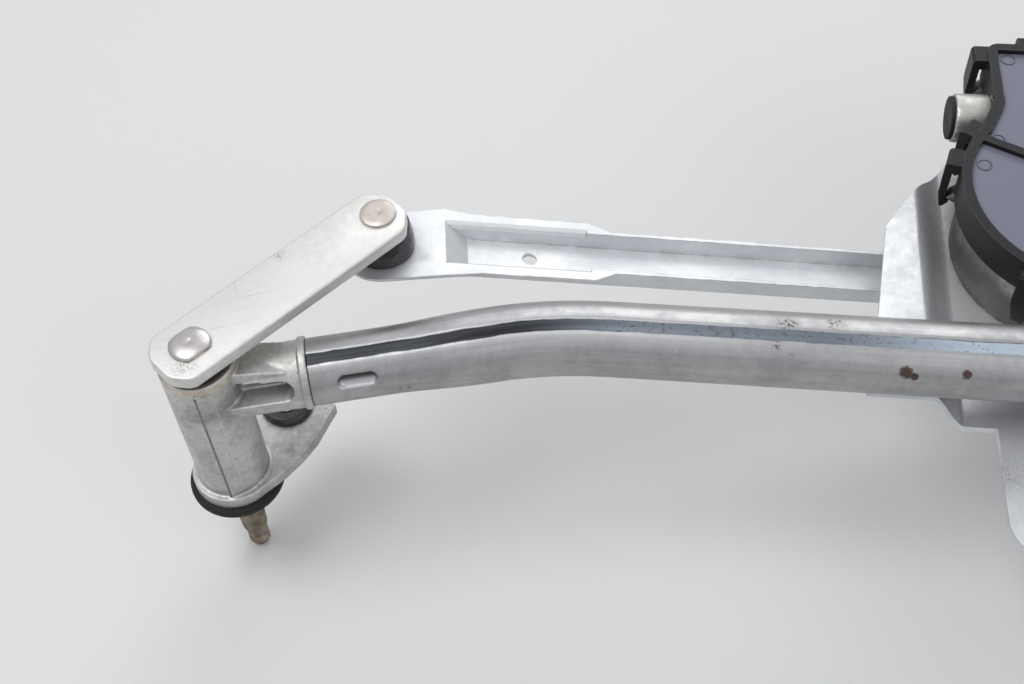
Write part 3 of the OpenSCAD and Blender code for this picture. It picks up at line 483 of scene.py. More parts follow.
@dataclass(frozen=True)
class SeamedTube(Finish):
    """Galvanised tube with drawn streaks, a scarfed weld seam, scuffs, a few rust spots, and painted
    highlights and shade in its crimps.
    """

    streak: Colour = (0.24, 0.245, 0.25)
    score: Colour = (0.2, 0.19, 0.18)
    scuff: Colour = (0.1, 0.09, 0.08)
    rust: Colour = (0.075, 0.036, 0.02)
    scuffs: tuple[tuple[Point, float], ...] = ()
    rust_spots: tuple[tuple[Point, float], ...] = ()
    spot_strength: float = 0.85
    spot_rough: float = 0.75
    # Colour of the painted highlight on the crimps' floors.
    crimp_highlight: Colour = (0.68, 0.68, 0.69)
    seam_angle: float = math.radians(75)
    seam_half: float = 0.0021
    seam_wander: float = 0.0012
    seam_rough: float = 0.42
    # Dark colour of the bare seam, also used for the painted shade on the crimps' upper walls.
    seam_dark_and_crimp_shade: Colour = (0.024, 0.024, 0.026)
    # Pale bluish colour of the zinced seam, with a painted reflection of the sky in it.
    seam_pale_reflection: Colour = (0.46, 0.53, 0.62)
    seam_line: Colour = (0.1, 0.06, 0.045)
    first_zinc_reflection: tuple[float, float] = (0.1, 0.15)
    first_share: float = 0.28
    full_zinc_reflection: tuple[float, float] = (0.2, 0.26)
    fleck: Colour = (0.12, 0.082, 0.066)
    fleck_start: tuple[float, float] = (0.11, 0.15)
    fleck_levels: tuple[float, float] = (0.56, 0.64)
    line_levels: tuple[float, float] = (0.3, 0.55)
    speck: Colour = (0.03, 0.028, 0.03)
    speck_levels: tuple[float, float] = (0.6, 0.66)
    speck_patches: tuple[float, float] = (0.42, 0.6)

    def where(self, graph: Graph) -> Socket:
        """Position along the tube as if it were straight."""
        return graph.add("ShaderNodeAttribute", attribute_name="straight").outputs["Vector"]

    def marks(self, look: Look) -> None:
        """Adds streaks, scratches, scuffs, rust, the seam and the crimps.

        Args:
            look: The look so far.
        """
        drawn = look.mask(look.effects.streaks, Scale=650.0)
        look.tint(drawn, self.streak, 0.35)
        look.tint(look.mask(look.effects.scratches, Scale=500.0), self.score, 0.4)
        kinds = ((self.scuffs, self.scuff, 0.05, 1.0), (self.rust_spots, self.rust, 0.6, 0.5))
        for places, tint, solid, full in kinds:
            for centre, radius in places:
                found = look.mask(look.effects.spot, Centre=centre, Radius=radius, Solid=solid)
                mark = look.graph.fit(found, 0.5 * (1 - full), full)
                look.tint(mark, tint, self.spot_strength)
                look.roughen(mark, self.spot_rough)
        self.seam(look, drawn)
        self.crimps(look)

    def seam(self, look: Look, drawn: Socket) -> None:
        """Adds the weld seam, bare near the tube's start and zinced farther along, with a painted sky
        reflection there.

        Args:
            look: The look so far.
            drawn: The drawn streaks.
        """
        graph, spot, half = look.graph, look.spot, self.seam_half
        side, up = math.sin(self.seam_angle), math.cos(self.seam_angle)
        across = graph.measure("DOT_PRODUCT", spot, (0, side, up))
        above = graph.measure("DOT_PRODUCT", spot, (0, -up, side))
        aside = graph.math("ADD", across, graph.waver(spot, 90.0, self.seam_wander))
        band = graph.fit(graph.math("ABSOLUTE", aside), half + 0.0002, half - 0.0003)
        band = graph.math("MULTIPLY", band, graph.fit(above, 0.004, 0.006))
        along = graph.part(spot, "X")
        # Farther along, the seam pales to the zinced colour with its painted sky reflection.
        zinced_reflection = graph.fit(along, *self.full_zinc_reflection)
        first = graph.math("MULTIPLY", graph.fit(along, *self.first_zinc_reflection), self.first_share)
        paling = graph.math("ADD", first, graph.math("MULTIPLY", zinced_reflection, 1 - self.first_share), clamp=True)
        paling = graph.math("ADD", paling, graph.math("MULTIPLY", drawn, 0.06), clamp=True)
        bare = graph.math("SUBTRACT", graph.fit(along, *self.fleck_start), zinced_reflection, clamp=True)
        flecks = graph.fit(graph.noise(spot, 420.0, detail=4.0, rough=0.65), *self.fleck_levels)
        flecked = graph.math("MULTIPLY", graph.math("MULTIPLY", flecks, bare), 0.7)
        look.tint(band, graph.mix(flecked, graph.mix(paling, self.seam_dark_and_crimp_shade, self.seam_pale_reflection), self.fleck))
        rim = graph.math("MULTIPLY", graph.fit(aside, half - 0.0007, half - 0.0001), band)
        broken = graph.fit(graph.noise(spot, 160.0, detail=4.0, rough=0.6), *self.line_levels)
        look.tint(graph.math("MULTIPLY", rim, graph.math("MULTIPLY", broken, zinced_reflection)), self.seam_line)
        specks = graph.fit(graph.noise(spot, 1100.0, detail=3.0, rough=0.7), *self.speck_levels)
        patches = graph.fit(graph.noise(spot, 60.0, detail=3.0), *self.speck_patches)
        gathered = graph.math("MULTIPLY", graph.math("MULTIPLY", specks, band), patches)
        look.tint(gathered, self.speck, 0.85)
        look.roughen(band, self.seam_rough)

    def crimps(self, look: Look) -> None:
        """Paints highlights on the floors of the crimps and paints shade on their upper walls.

        Args:
            look: The look so far.
        """
        # Painted highlight on each crimp's floor; painted shade on its upper wall.
        kinds = (("crimp_floor_highlight", self.crimp_highlight, 0.6), ("crimp_wall", self.seam_dark_and_crimp_shade, 0.9))
        for attribute, tint, strength in kinds:
            found = look.graph.add("ShaderNodeAttribute", attribute_name=attribute).outputs["Fac"]
            look.tint(found, tint, strength)


@dataclass(frozen=True)
class ScuffedZinc(Finish):
    """Zinc-plated sheet with rolling marks, scratches and dark speckled patches."""

    turn: float = 0.0
    rolled: float = 0.2
    scratch: float = 0.3
    scratch_rough: float = 0.25
    patches: tuple[tuple[Point, float], ...] = ()
    patch_rough: float = 0.65
    smudge: Colour = (0.3, 0.29, 0.28)

    def marks(self, look: Look) -> None:
        """Adds rolling marks, scratches and patches.

        Args:
            look: The look so far.
        """
        turned = look.graph.turned(look.spot, -self.turn)
        look.tint(look.mask(look.effects.streaks, Vector=turned, Scale=700.0), self.shade, self.rolled)
        scored = look.mask(look.effects.scratches, Vector=turned, Scale=600.0)
        look.tint(scored, self.smudge, self.scratch)
        look.roughen(look.graph.math("MULTIPLY", scored, 0.5), self.scratch_rough)
        for centre, radius in self.patches:
            patch = look.mask(look.effects.spot, Centre=centre, Radius=radius, Scale=1300.0, Solid=0.1)
            look.tint(patch, self.smudge, 0.75)
            look.roughen(patch, self.patch_rough)


@dataclass(frozen=True)
class MouldedCover(ScuffedZinc):
    """Black plastic with a sunk panel that is paler and smoother than its border."""

    panel: Colour = (0.18, 0.186, 0.245)
    panel_rough: float = 0.34
    panel_z: float = 0.0
    panel_facing: tuple[float, float] = (0.7, 0.95)

    def marks(self, look: Look) -> None:
        """Adds the panel, then scratches.

        Args:
            look: The look so far.
        """
        graph, height, z = look.graph, look.graph.part(look.spot, "Z"), self.panel_z
        facing = graph.part(graph.add("ShaderNodeNewGeometry").outputs["Normal"], "Z")
        level = graph.math("MULTIPLY", graph.fit(height, z + 0.0007, z + 0.0004),
                           graph.fit(height, z - 0.0006, z - 0.0003))
        sunk = graph.math("MULTIPLY", level, graph.fit(facing, *self.panel_facing))
        look.tint(sunk, self.panel)
        look.roughen(sunk, self.panel_rough)
        super().marks(look)


@dataclass(frozen=True)
class CastMetal(Finish):
    """Die-cast metal with dark flow marks and small pits."""

    flow: Colour = (0.2, 0.2, 0.2)
    stain_levels: tuple[float, float] = (0.55, 0.7)
    pit_levels: tuple[float, float] = (0.68, 0.74)
    pit_rough: float = 0.7

    def marks(self, look: Look) -> None:
        """Adds flow marks and pits.

        Args:
            look: The look so far.
        """
        graph = look.graph
        stains = graph.fit(graph.noise(look.spot, 35.0, detail=6.0, rough=0.7), *self.stain_levels)
        look.tint(stains, self.flow, 0.5)
        pits = graph.fit(graph.noise(look.spot, 700.0, detail=2.0), *self.pit_levels)
        look.tint(pits, self.flow, 0.7)
        look.roughen(pits, self.pit_rough)


@dataclass(frozen=True)
class LowShadedCast(CastMetal):
    """Die-cast metal whose lower part is darkened with painted shade."""

    low: float = 0.0
    high: float = 0.01
    ragged: float = 0.02
    low_shade: Colour = (0.06, 0.055, 0.05)
    low_shade_rough: float = 0.6

    def marks(self, look: Look) -> None:
        """Adds flow marks, pits and the painted shade on the lower part.

        Args:
            look: The look so far.
        """
        super().marks(look)
        graph, spot = look.graph, look.spot
        # Painted shade: the part below the cover is darkened, with a ragged edge.
        height = graph.math("ADD", graph.part(spot, "Z"), graph.waver(spot, 80.0, self.ragged, detail=5.0))
        lower = graph.fit(height, self.high, self.low)
        look.tint(lower, self.low_shade, 0.75)
        look.roughen(lower, self.low_shade_rough)


@dataclass(frozen=True)
class TurnedSteel(Finish):
    """Turned steel with fine rings round one axis and a tinted middle."""

    centre: Point = (0.0, 0.0, 0.0)
    tint: Colour = (0.45, 0.3, 0.24)
    tint_radius: float = 0.0035

    def marks(self, look: Look) -> None:
        """Adds turning rings and the tint.

        Args:
            look: The look so far.
        """
        shift = tuple(-x for x in self.centre)
        local = look.graph.add("ShaderNodeMapping", {"Vector": look.spot, "Location": shift}).outputs[0]
        rings = look.graph.add("ShaderNodeTexWave", {"Vector": local, "Scale": 900.0, "Distortion": 2.0},
                               wave_type="RINGS", rings_direction="Z").outputs["Fac"]
        look.tint(rings, self.shade, 0.25)
        middle = look.mask(look.effects.spot, Vector=local, Centre=(0, 0, 0), Radius=self.tint_radius)
        look.tint(middle, self.tint, 0.7)


class Palette:
    """The finishes of the linkage, made on first use."""

    def __init__(self) -> None:
        """Lists the finishes that need no place of their own."""
        self.effects = Effects()
        self.made: dict[str, bpy.types.Material] = {}
        self.plain: dict[str, Finish] = {finish.name: finish for finish in (
            ScuffedZinc(
                "zinc_plate", colour=(0.74, 0.75, 0.77), shade=(0.6, 0.61, 0.63), metallic=0.65,
                rough=(0.34, 0.5), mottle=40.0, wear=0.5, worn=(0.85, 0.85, 0.84), shade_and_grime=0.35,
                scratch=0.35,
                patches=(((0.226, 0.082, 0.033), 0.02), ((0.247, -0.024, 0.033), 0.01),
                         ((0.314, 0.016, 0.033), 0.018), ((0.334, 0.076, 0.033), 0.02))),
            CastMetal(
                "die_cast", colour=(0.56, 0.555, 0.54), shade=(0.4, 0.395, 0.38), metallic=0.85,
                rough=(0.38, 0.56), mottle=70.0, grain=1500.0, grain_depth=0.00007, wear=0.5,
                worn=(0.74, 0.74, 0.73), shade_and_grime=0.6),
            # The housing's lower part is darkened with painted shade.
            LowShadedCast(
                "gear_cast", colour=(0.58, 0.57, 0.545), shade=(0.43, 0.42, 0.39), metallic=0.85,
                rough=(0.38, 0.56), mottle=55.0, grain=1400.0, grain_depth=0.00008, wear=0.4,
                worn=(0.72, 0.71, 0.69), shade_and_grime=0.7, low=0.044, high=0.058),
            # Dark finish of the parting line's strip: painted shade along the barrel's step.
            Finish(
                "parting_soot", colour=(0.19, 0.185, 0.175), shade=(0.25, 0.24, 0.23), metallic=0.6,
                rough=(0.5, 0.65), mottle=90.0),
            Finish(
                "bronze", colour=(0.52, 0.36, 0.19), shade=(0.36, 0.24, 0.12), metallic=1.0,
                rough=(0.35, 0.5), mottle=200.0),
            TurnedSteel(
                "hardware", colour=(0.62, 0.62, 0.61), shade=(0.45, 0.45, 0.44), metallic=1.0,
                rough=(0.28, 0.42), mottle=150.0, wear=0.3, shade_and_grime=0.3, tint=(0.5, 0.47, 0.4)),
            Finish(
                "weld", colour=(0.27, 0.26, 0.26), shade=(0.13, 0.12, 0.12), metallic=0.9,
                rough=(0.4, 0.6), mottle=350.0, grain=1500.0, grain_depth=0.0001),
            Finish(
                "rubber", colour=(0.013, 0.013, 0.014), shade=(0.022, 0.022, 0.023), metallic=0.0,
                rough=(0.55, 0.75), mottle=150.0, grain=1800.0, grain_depth=0.00005, wear=0.25,
                worn=(0.07, 0.07, 0.07), specular=0.25),
            Finish(
                "grommet_rubber", colour=(0.022, 0.022, 0.023), shade=(0.045, 0.045, 0.046),
                metallic=0.0, rough=(0.3, 0.5), mottle=260.0, grain=1500.0, grain_depth=0.00004,
                wear=0.4, worn=(0.12, 0.12, 0.12)),
            CastMetal(
                "machined_face", colour=(0.66, 0.62, 0.54), shade=(0.5, 0.42, 0.33), metallic=0.9,
                rough=(0.35, 0.55), mottle=260.0, grain=1400.0, grain_depth=0.00003,
                flow=(0.3, 0.2, 0.12)),
            Finish(
                "socket_plastic", colour=(0.012, 0.012, 0.013), shade=(0.02, 0.02, 0.021), metallic=0.0,
                rough=(0.18, 0.32), mottle=120.0, grain=1500.0, grain_depth=0.00002, wear=0.2,
                worn=(0.07, 0.07, 0.07), coat=0.25),
            MouldedCover(
                "cover_plastic", colour=(0.012, 0.012, 0.013), shade=(0.02, 0.02, 0.022), metallic=0.0,
                rough=(0.38, 0.52), mottle=60.0, grain=1900.0, grain_depth=0.00009, wear=0.55,
                worn=(0.1, 0.1, 0.105), shade_and_grime=0.25, rolled=0.0, scratch=0.35, smudge=(0.1, 0.1, 0.1),
                dirt_and_shade=(0.012, 0.011, 0.01), specular=0.2, panel_z=0.066),
            Finish(
                "wheel_plastic", colour=(0.72, 0.69, 0.58), shade=(0.6, 0.56, 0.44), metallic=0.0,
                rough=(0.35, 0.5), mottle=80.0),
            ScuffedZinc(
                "can_paint", colour=(0.03, 0.031, 0.033), shade=(0.05, 0.051, 0.053), metallic=0.2,
                rough=(0.3, 0.45), mottle=50.0, grain=900.0, grain_depth=0.00003, wear=0.6,
                worn=(0.3, 0.3, 0.3), shade_and_grime=0.2, rolled=0.15, scratch=0.4, smudge=(0.16, 0.15, 0.14),
                dirt_and_shade=(0.08, 0.07, 0.06)),
            CastMetal(
                "spindle_steel", colour=(0.2, 0.16, 0.13), shade=(0.12, 0.092, 0.075), metallic=1.0,
                rough=(0.3, 0.48), mottle=180.0, grain=1200.0, grain_depth=0.00003, wear=0.6,
                worn=(0.5, 0.44, 0.31), shade_and_grime=0.4, flow=(0.12, 0.08, 0.055)),
            ScuffedZinc(
                "crank_zinc", colour=(0.66, 0.66, 0.65), shade=(0.5, 0.5, 0.5), metallic=1.0,
                rough=(0.36, 0.5), mottle=70.0, wear=0.5, shade_and_grime=0.4),
        )}

    def get(self, name: str) -> bpy.types.Material:
        """The material of a named plain finish."""
        return self.of(self.plain[name])

    def of(self, finish: Finish) -> bpy.types.Material:
        """The material of a finish, built once."""
        if finish.name not in self.made:
            self.made[finish.name] = finish.material(self.effects)
        return self.made[finish.name]


class Shop:
    """Turns meshes and CAD nodes into finished pieces."""

    FLAT_ANGLE = math.radians(0.5)
    SHARP_ANGLE = math.radians(28)
    SPARE = 0.2 * MM

    def __init__(self, frame: dict, palette: Palette) -> None:
        """Keeps the frame's nodes and the finishes."""
        self.nodes: dict[str, bpy.types.Object] = frame["nodes"]
        self.palette = palette

    def piece(self, name: str, mesh: bmesh.types.BMesh, material: bpy.types.Material, body: Body,
              replaces: Sequence[str] = (), crease: float = 40.0) -> bpy.types.Object:
        """Makes an object of a mesh and sets it on its body.

        Args:
            name: Name of the piece.
            mesh: The mesh, which is freed.
            material: The finish.
            body: The body that it rides on.
            replaces: CAD nodes that it stands for.
            crease: Angle in degrees above which edges stay sharp.

        Returns:
            The new object.
        """
        data = bpy.data.meshes.new(name)
        mesh.to_mesh(data)
        mesh.free()
        data.shade_smooth()
        data.set_sharp_from_angle(angle=math.radians(crease))
        data.materials.append(material)
        made = bpy.data.objects.new(name, data)
        bpy.context.scene.collection.objects.link(made)
        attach(made, body.value)
        if replaces:
            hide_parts(*replaces)
        LOG.info("%s rides on %s", name, body.value)
        return made

    def dress(self, node: str, material: bpy.types.Material) -> None:
        """Gives a CAD node that stays visible its finish."""
        self.nodes[node].data.materials[0] = material
        LOG.info("%s keeps its CAD shape", node)

    def merged(self, node: str) -> bmesh.types.BMesh:
        """A closed copy of a CAD node's mesh.

        Args:
            node: Name of the CAD node.

        Returns:
            The copy, with its flat faces joined.
        """
        mesh = bmesh.new()
        mesh.from_mesh(self.nodes[node].data)
        bmesh.ops.remove_doubles(mesh, verts=mesh.verts[:], dist=2e-7)
        bmesh.ops.dissolve_degenerate(mesh, edges=mesh.edges[:], dist=1e-7)
        bmesh.ops.dissolve_limit(mesh, angle_limit=self.FLAT_ANGLE, verts=mesh.verts[:],
                                 edges=mesh.edges[:])
        return mesh

    def softened(self, node: str, material: bpy.types.Material, body: Body,
                 rounding: Round) -> bpy.types.Object:
        """Stands in for a CAD node with the same shape and softened edges.

        Args:
            node: Name of the CAD node.
            material: The finish.
            body: The body that it rides on.
            rounding: How its edges are softened.

        Returns:
            The new object.
        """
        mesh = self.merged(node)
        sharp = [e for e in mesh.edges
                 if len(e.link_faces) == 2 and e.calc_face_angle(0.0) > self.SHARP_ANGLE]
        round_edges(mesh, sharp, rounding.width, rounding.segments)
        low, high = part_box(node)
        strayed = (not low[i] - self.SPARE <= v.co[i] <= high[i] + self.SPARE
                   for v in mesh.verts for i in range(3))
        if any(strayed):
            LOG.warning("%s keeps its plain edges", node)
            mesh.free()
            mesh = self.merged(node)
        made = self.piece(f"{node}_finished", mesh, material, body, [node], crease=32.0)
        even = made.modifiers.new("even_shading", "WEIGHTED_NORMAL")
        even.keep_sharp = True
        return made

    def cast(self, node: str, material: bpy.types.Material, body: Body, grain: float, fillets: int = 2,
             kept: float = 0.4) -> bpy.types.Object:
        """Stands in for a CAD node with the filleted edges of a casting.

        Args:
            node: Name of the CAD node.
            material: The finish.
            body: The body that it rides on.
            grain: Size of the faces, in metres.
            fillets: How often the surface is smoothed.
            kept: Share of the faces that is kept at the end.

        Returns:
            The new object.
        """
        made = self.piece(f"{node}_casting", self.merged(node), material, body, [node], crease=180.0)
        remesh = made.modifiers.new("skin", "REMESH")
        remesh.mode = "VOXEL"
        remesh.voxel_size = grain
        remesh.use_smooth_shade = True
        fillet = made.modifiers.new("fillets", "SMOOTH")
        fillet.factor = 0.5
        fillet.iterations = fillets
        lighter = made.modifiers.new("lighter", "DECIMATE")
        lighter.ratio = kept
        bpy.context.view_layer.update()
        shaped = made.evaluated_get(bpy.context.evaluated_depsgraph_get())
        data = bpy.data.meshes.new_from_object(shaped)
        made.modifiers.clear()
        made.data = data
        data.shade_smooth()
        return made


def spun(profile: Outline, steps: int = 64) -> bmesh.types.BMesh:
    """Turns a profile round the Z axis.

    Args:
        profile: Radius and height of each point, in millimetres.
        steps: Number of faces round the axis.

    Returns:
        The closed mesh.
    """
    mesh = bmesh.new()
    points = [mesh.verts.new((r * MM, 0, z * MM)) for r, z in profile]
    edges = [mesh.edges.new(pair) for pair in zip(points, points[1:])]
    bmesh.ops.spin(mesh, geom=points + edges, cent=(0, 0, 0), axis=(0, 0, 1), angle=FULL_TURN, steps=steps,
                   use_merge=True)
    bmesh.ops.remove_doubles(mesh, verts=mesh.verts[:], dist=1e-6)
    bmesh.ops.dissolve_degenerate(mesh, edges=mesh.edges[:], dist=1e-7)
    bmesh.ops.recalc_face_normals(mesh, faces=mesh.faces[:])
    return mesh


def join(first: bmesh.types.BMesh, other: bmesh.types.BMesh) -> None:
    """Adds a second mesh to the first and frees it.

    Args:
        first: The mesh that grows.
        other: The mesh that is added.
    """
    data = bpy.data.meshes.new("joined")
    other.to_mesh(data)
    other.free()
    first.from_mesh(data)
    bpy.data.meshes.remove(data)


def place(mesh: bmesh.types.BMesh, matrix: Matrix) -> bmesh.types.BMesh:
    """Moves a whole mesh and gives it back."""
    bmesh.ops.transform(mesh, matrix=matrix, verts=mesh.verts[:])
    return mesh


def moved(x: float, y: float, z: float = 0.0) -> Matrix:
    """The shift by a distance in millimetres."""
    return Matrix.Translation((x * MM, y * MM, z * MM))


def round_edges(mesh: bmesh.types.BMesh, edges: list, width: float, segments: int) -> None:
    """Rounds edges of a mesh.

    Args:
        mesh: The mesh.
        edges: The edges to round.
        width: Width of the rounding, in metres.
        segments: Number of faces across it.
    """
    bmesh.ops.bevel(mesh, geom=edges, offset=width, offset_type="OFFSET", segments=segments, profile=0.5,
                    affect="EDGES", clamp_overlap=True, material=-1)


def prism(outline: Outline, low: float, high: float) -> bmesh.types.BMesh:
    """Raises an outline to a closed block.

    Args:
        outline: X and Y of its corners, in millimetres.
        low: Height of its base, in millimetres.
        high: Height of its top, in millimetres.

    Returns:
        The block's mesh.
    """
    mesh = bmesh.new()
    base = mesh.faces.new([mesh.verts.new((x * MM, y * MM, low * MM)) for x, y in outline])
    raised = bmesh.ops.extrude_face_region(mesh, geom=[base])["geom"]
    top = [v for v in raised if isinstance(v, bmesh.types.BMVert)]
    bmesh.ops.translate(mesh, vec=(0, 0, (high - low) * MM), verts=top)
    bmesh.ops.recalc_face_normals(mesh, faces=mesh.faces[:])
    return mesh


def arc_points(centre: tuple[float, float], radius: float, start: float, end: float, count: int) -> list:
    """Points of a profile's arc.

    Args:
        centre: Radius and height of the arc's middle.
        radius: Radius of the arc.
        start: First angle in degrees, from straight out towards straight up.
        end: Last angle in degrees.
        count: Number of points.

    Returns:
        The radius and height of each point.
    """
    turns = [math.radians(start + (end - start) * i / (count - 1)) for i in range(count)]
    return [(max(0.0, centre[0] + radius * math.cos(a)), centre[1] + radius * math.sin(a)) for a in turns]


@dataclass
class FrameTube:
    """Bent tube with swaged ends, crimped on the spigots, in metres."""

    spindle: tuple[float, float] = (-0.014, -0.0265)
    pitch: float = 0.56
    radius: float = 0.0125
    end_radius: float = 0.01125
    wall: float = 0.0015
    start: float = 0.034
    swage: float = 0.024
    swage_gap: float = 0.002
    bend: float = math.radians(15)
    bend_radius: float = 0.15
    offset: float = 0.0295
    height: float = 0.0555
    steps: int = 160
    lip_rings: tuple[float, ...] = (0.0, 0.0006, 0.003)
    crimp_rings: tuple[float, float, int] = (0.0045, 0.0335, 72)
    swage_rings: tuple[float, int] = (0.0365, 6)
    bend_rings: int = 14
    middle_rings: int = 24
    slot: tuple[float, float] = (0.0115, 0.0195)
    dent: float = 0.03
    dent_share: float = 0.75
    dent_turn: float = math.radians(-36)
    crimp_angle: float = math.radians(27)
    crimp_depth: float = 0.0014
    crimp_radius: float = 0.003
    crimp_wall: float = 0.0016
    crimp_lip: float = 0.0001
    crimp_shade: tuple[float, float] = (-0.0009, 0.0012)
    seam_angle: float = math.radians(75)
    seam_depth: float = 0.0002
    seam_rim: tuple[float, float] = (0.0017, 0.0026)

    @property
    def leg(self) -> float:
        """Length from the spindle to the bend."""
        return self.offset / math.sin(self.bend) - self.bend_radius * math.tan(self.bend / 2)

    @property
    def arc(self) -> float:
        """Length of a bend."""
        return self.bend_radius * self.bend

    @property
    def bend_x(self) -> float:
        """Distance from the spindle to the end of the bend, along X."""
        return self.offset / math.tan(self.bend) + self.bend_radius * math.tan(self.bend / 2)

    @property
    def length(self) -> float:
        """Length of the centre line from spindle to spindle."""
        return 2 * (self.leg + self.arc) + self.pitch - 2 * self.bend_x

    def centre(self, along: float) -> tuple[float, float, float]:
        """A point of the centre line.

        Args:
            along: Distance from the left spindle along the line.

        Returns:
            X and Y from the left spindle, and the heading in radians.
        """
        if along > self.length / 2:
            x, y, heading = self.centre(self.length - along)
            return self.pitch - x, y, -heading
        if along < self.leg:
            return along * math.cos(self.bend), along * math.sin(self.bend), self.bend
        if along < self.leg + self.arc:
            left = self.bend - (along - self.leg) / self.bend_radius
            x = self.bend_x - self.bend_radius * math.sin(left)
            return x, self.offset - self.bend_radius * (1 - math.cos(left)), left
        return self.bend_x + along - self.leg - self.arc, self.offset, 0.0

    def size_at(self, along: float) -> float:
        """Outside radius at a distance along the line."""
        near = min(along, self.length - along)
        rise = smooth_step(self.start + self.swage, self.leg - self.swage_gap, near)
        return self.end_radius + (self.radius - self.end_radius) * rise

    def pressed(self, along: float, angle: float) -> tuple[float, float]:
        """Depth of crimps and seam at a place on the skin.

        Args:
            along: Distance along the line.
            angle: Angle above the front, in radians.

        Returns:
            How far the skin goes in, and how far above the crimp's middle the place is, in metres.
        """
        near = min(along, self.length - along) - self.start
        crimps = ((*self.slot, self.crimp_radius, 0.0),
                  (self.dent, self.dent, self.dent_share * self.crimp_radius, self.dent_turn))
        depth, above = 0.0, 0.0
        for first, last, size, turn in crimps:
            across = (angle - self.crimp_angle - turn) * self.end_radius
            away = math.hypot(max(first - near, near - last, 0.0), across)
            if away < size + self.crimp_lip:
                rise = smooth_step(size - self.crimp_wall, size + self.crimp_lip, away)
                depth, above = self.crimp_depth * (1 - rise), across
        band = abs(angle - self.seam_angle) * self.end_radius
        return depth + self.seam_depth * (1 - smooth_step(*self.seam_rim, band)), above

    def stations(self) -> list[float]:
        """Distances along the line at which the mesh has a ring."""
        half = [self.start + step for step in self.lip_rings]
        swage_start, swage_count = self.swage_rings
        spans = (self.crimp_rings, (swage_start, self.leg - self.start, swage_count))
        for first, last, count in spans:
            half += [self.start + first + (last - first) * i / count for i in range(count + 1)]
        half += [self.leg + self.arc * i / self.bend_rings for i in range(1, self.bend_rings + 1)]
        middle = self.length - 2 * half[-1]
        run = [half[-1] + middle * i / self.middle_rings for i in range(1, self.middle_rings)]
        return half + run + [self.length - s for s in reversed(half)]

    def mesh(self) -> bmesh.types.BMesh:
        """Draws the tube straight, presses it, and bends it.

        Returns:
            The skin, with each point's straight place, its share of a crimp's floor as painted highlight and
            its share of a crimp's upper wall as painted shade, as attributes.
        """
        mesh = bmesh.new()
        across = Matrix.Rotation(math.pi / 2, 4, "Y")
        stops = self.stations()
        bmesh.ops.create_circle(mesh, segments=self.steps, radius=self.size_at(stops[0]),
                                matrix=Matrix.Translation((stops[0], 0, 0)) @ across)
        ring = mesh.edges[:]
        for before, after in zip(stops, stops[1:]):
            grown = bmesh.ops.extrude_edge_only(mesh, edges=ring)["geom"]
            ring = [e for e in grown if isinstance(e, bmesh.types.BMEdge)]
            points = [v for v in grown if isinstance(v, bmesh.types.BMVert)]
            size = self.size_at(after) / self.size_at(before)
            bmesh.ops.scale(mesh, vec=(1, size, size), verts=points)
            bmesh.ops.translate(mesh, vec=(after - before, 0, 0), verts=points)
        bmesh.ops.recalc_face_normals(mesh, faces=mesh.faces[:])
        straight = mesh.verts.layers.float_vector.new("straight")
        wall = mesh.verts.layers.float.new("crimp_wall")
        floor = mesh.verts.layers.float.new("crimp_floor_highlight")
        for point in mesh.verts:
            along, y, z = point.co
            point[straight] = point.co
            angle = math.atan2(z, -y)
            depth, above = self.pressed(along, angle)
            # Painted highlight on the crimp's floor, and painted shade on its upper wall and the upper part
            # of its floor.
            point[floor] = smooth_step(0.8 * self.crimp_depth, self.crimp_depth, depth)
            inside = smooth_step(0.2 * self.crimp_depth, 0.5 * self.crimp_depth, depth)
            point[wall] = inside * smooth_step(*self.crimp_shade, above)
            share = 1 - depth / math.hypot(y, z)
            x0, y0, heading = self.centre(along)
            out = y * share
            point.co = (self.spindle[0] + x0 - out * math.sin(heading),
                        self.spindle[1] + y0 + out * math.cos(heading), self.height + z * share)
        return mesh

    def build(self, shop: Shop) -> None:
        """Makes the tube.

        Args:
            shop: The shop that finishes pieces.
        """
        finish = SeamedTube(
            "tube_steel", colour=(0.46, 0.458, 0.462), shade=(0.36, 0.36, 0.365), metallic=1.0,
            rough=(0.34, 0.46), mottle=45.0, grain=1100.0, grain_depth=0.00004, shade_and_grime=0.45,
            seam_angle=self.seam_angle,
            rust_spots=(((0.2276, -0.0109, 0.0062), 0.0042), ((0.2466, -0.0106, 0.0067), 0.003),
                        ((0.2305, -0.0115, 0.0049), 0.0022), ((0.331, -0.0085, 0.0092), 0.0024),
                        ((0.152, -0.0034, 0.012), 0.0036), ((0.1605, -0.003, 0.0121), 0.0026),
                        ((0.41, 0.0093, 0.0083), 0.0028)),
            scuffs=(((0.19, 0.0010, 0.0125), 0.006), ((0.205, 0.0030, 0.0121), 0.0045),
                    ((0.187, -0.0062, 0.0109), 0.003), ((0.36, 0.002, 0.0123), 0.006)))
        skin = shop.piece("frame_tube_drawn", self.mesh(), shop.palette.of(finish), Body.FRAME,
                          ["frame_tube"], crease=60.0)
        wall = skin.modifiers.new("wall", "SOLIDIFY")
        wall.thickness = self.wall
        wall.offset = -1.0


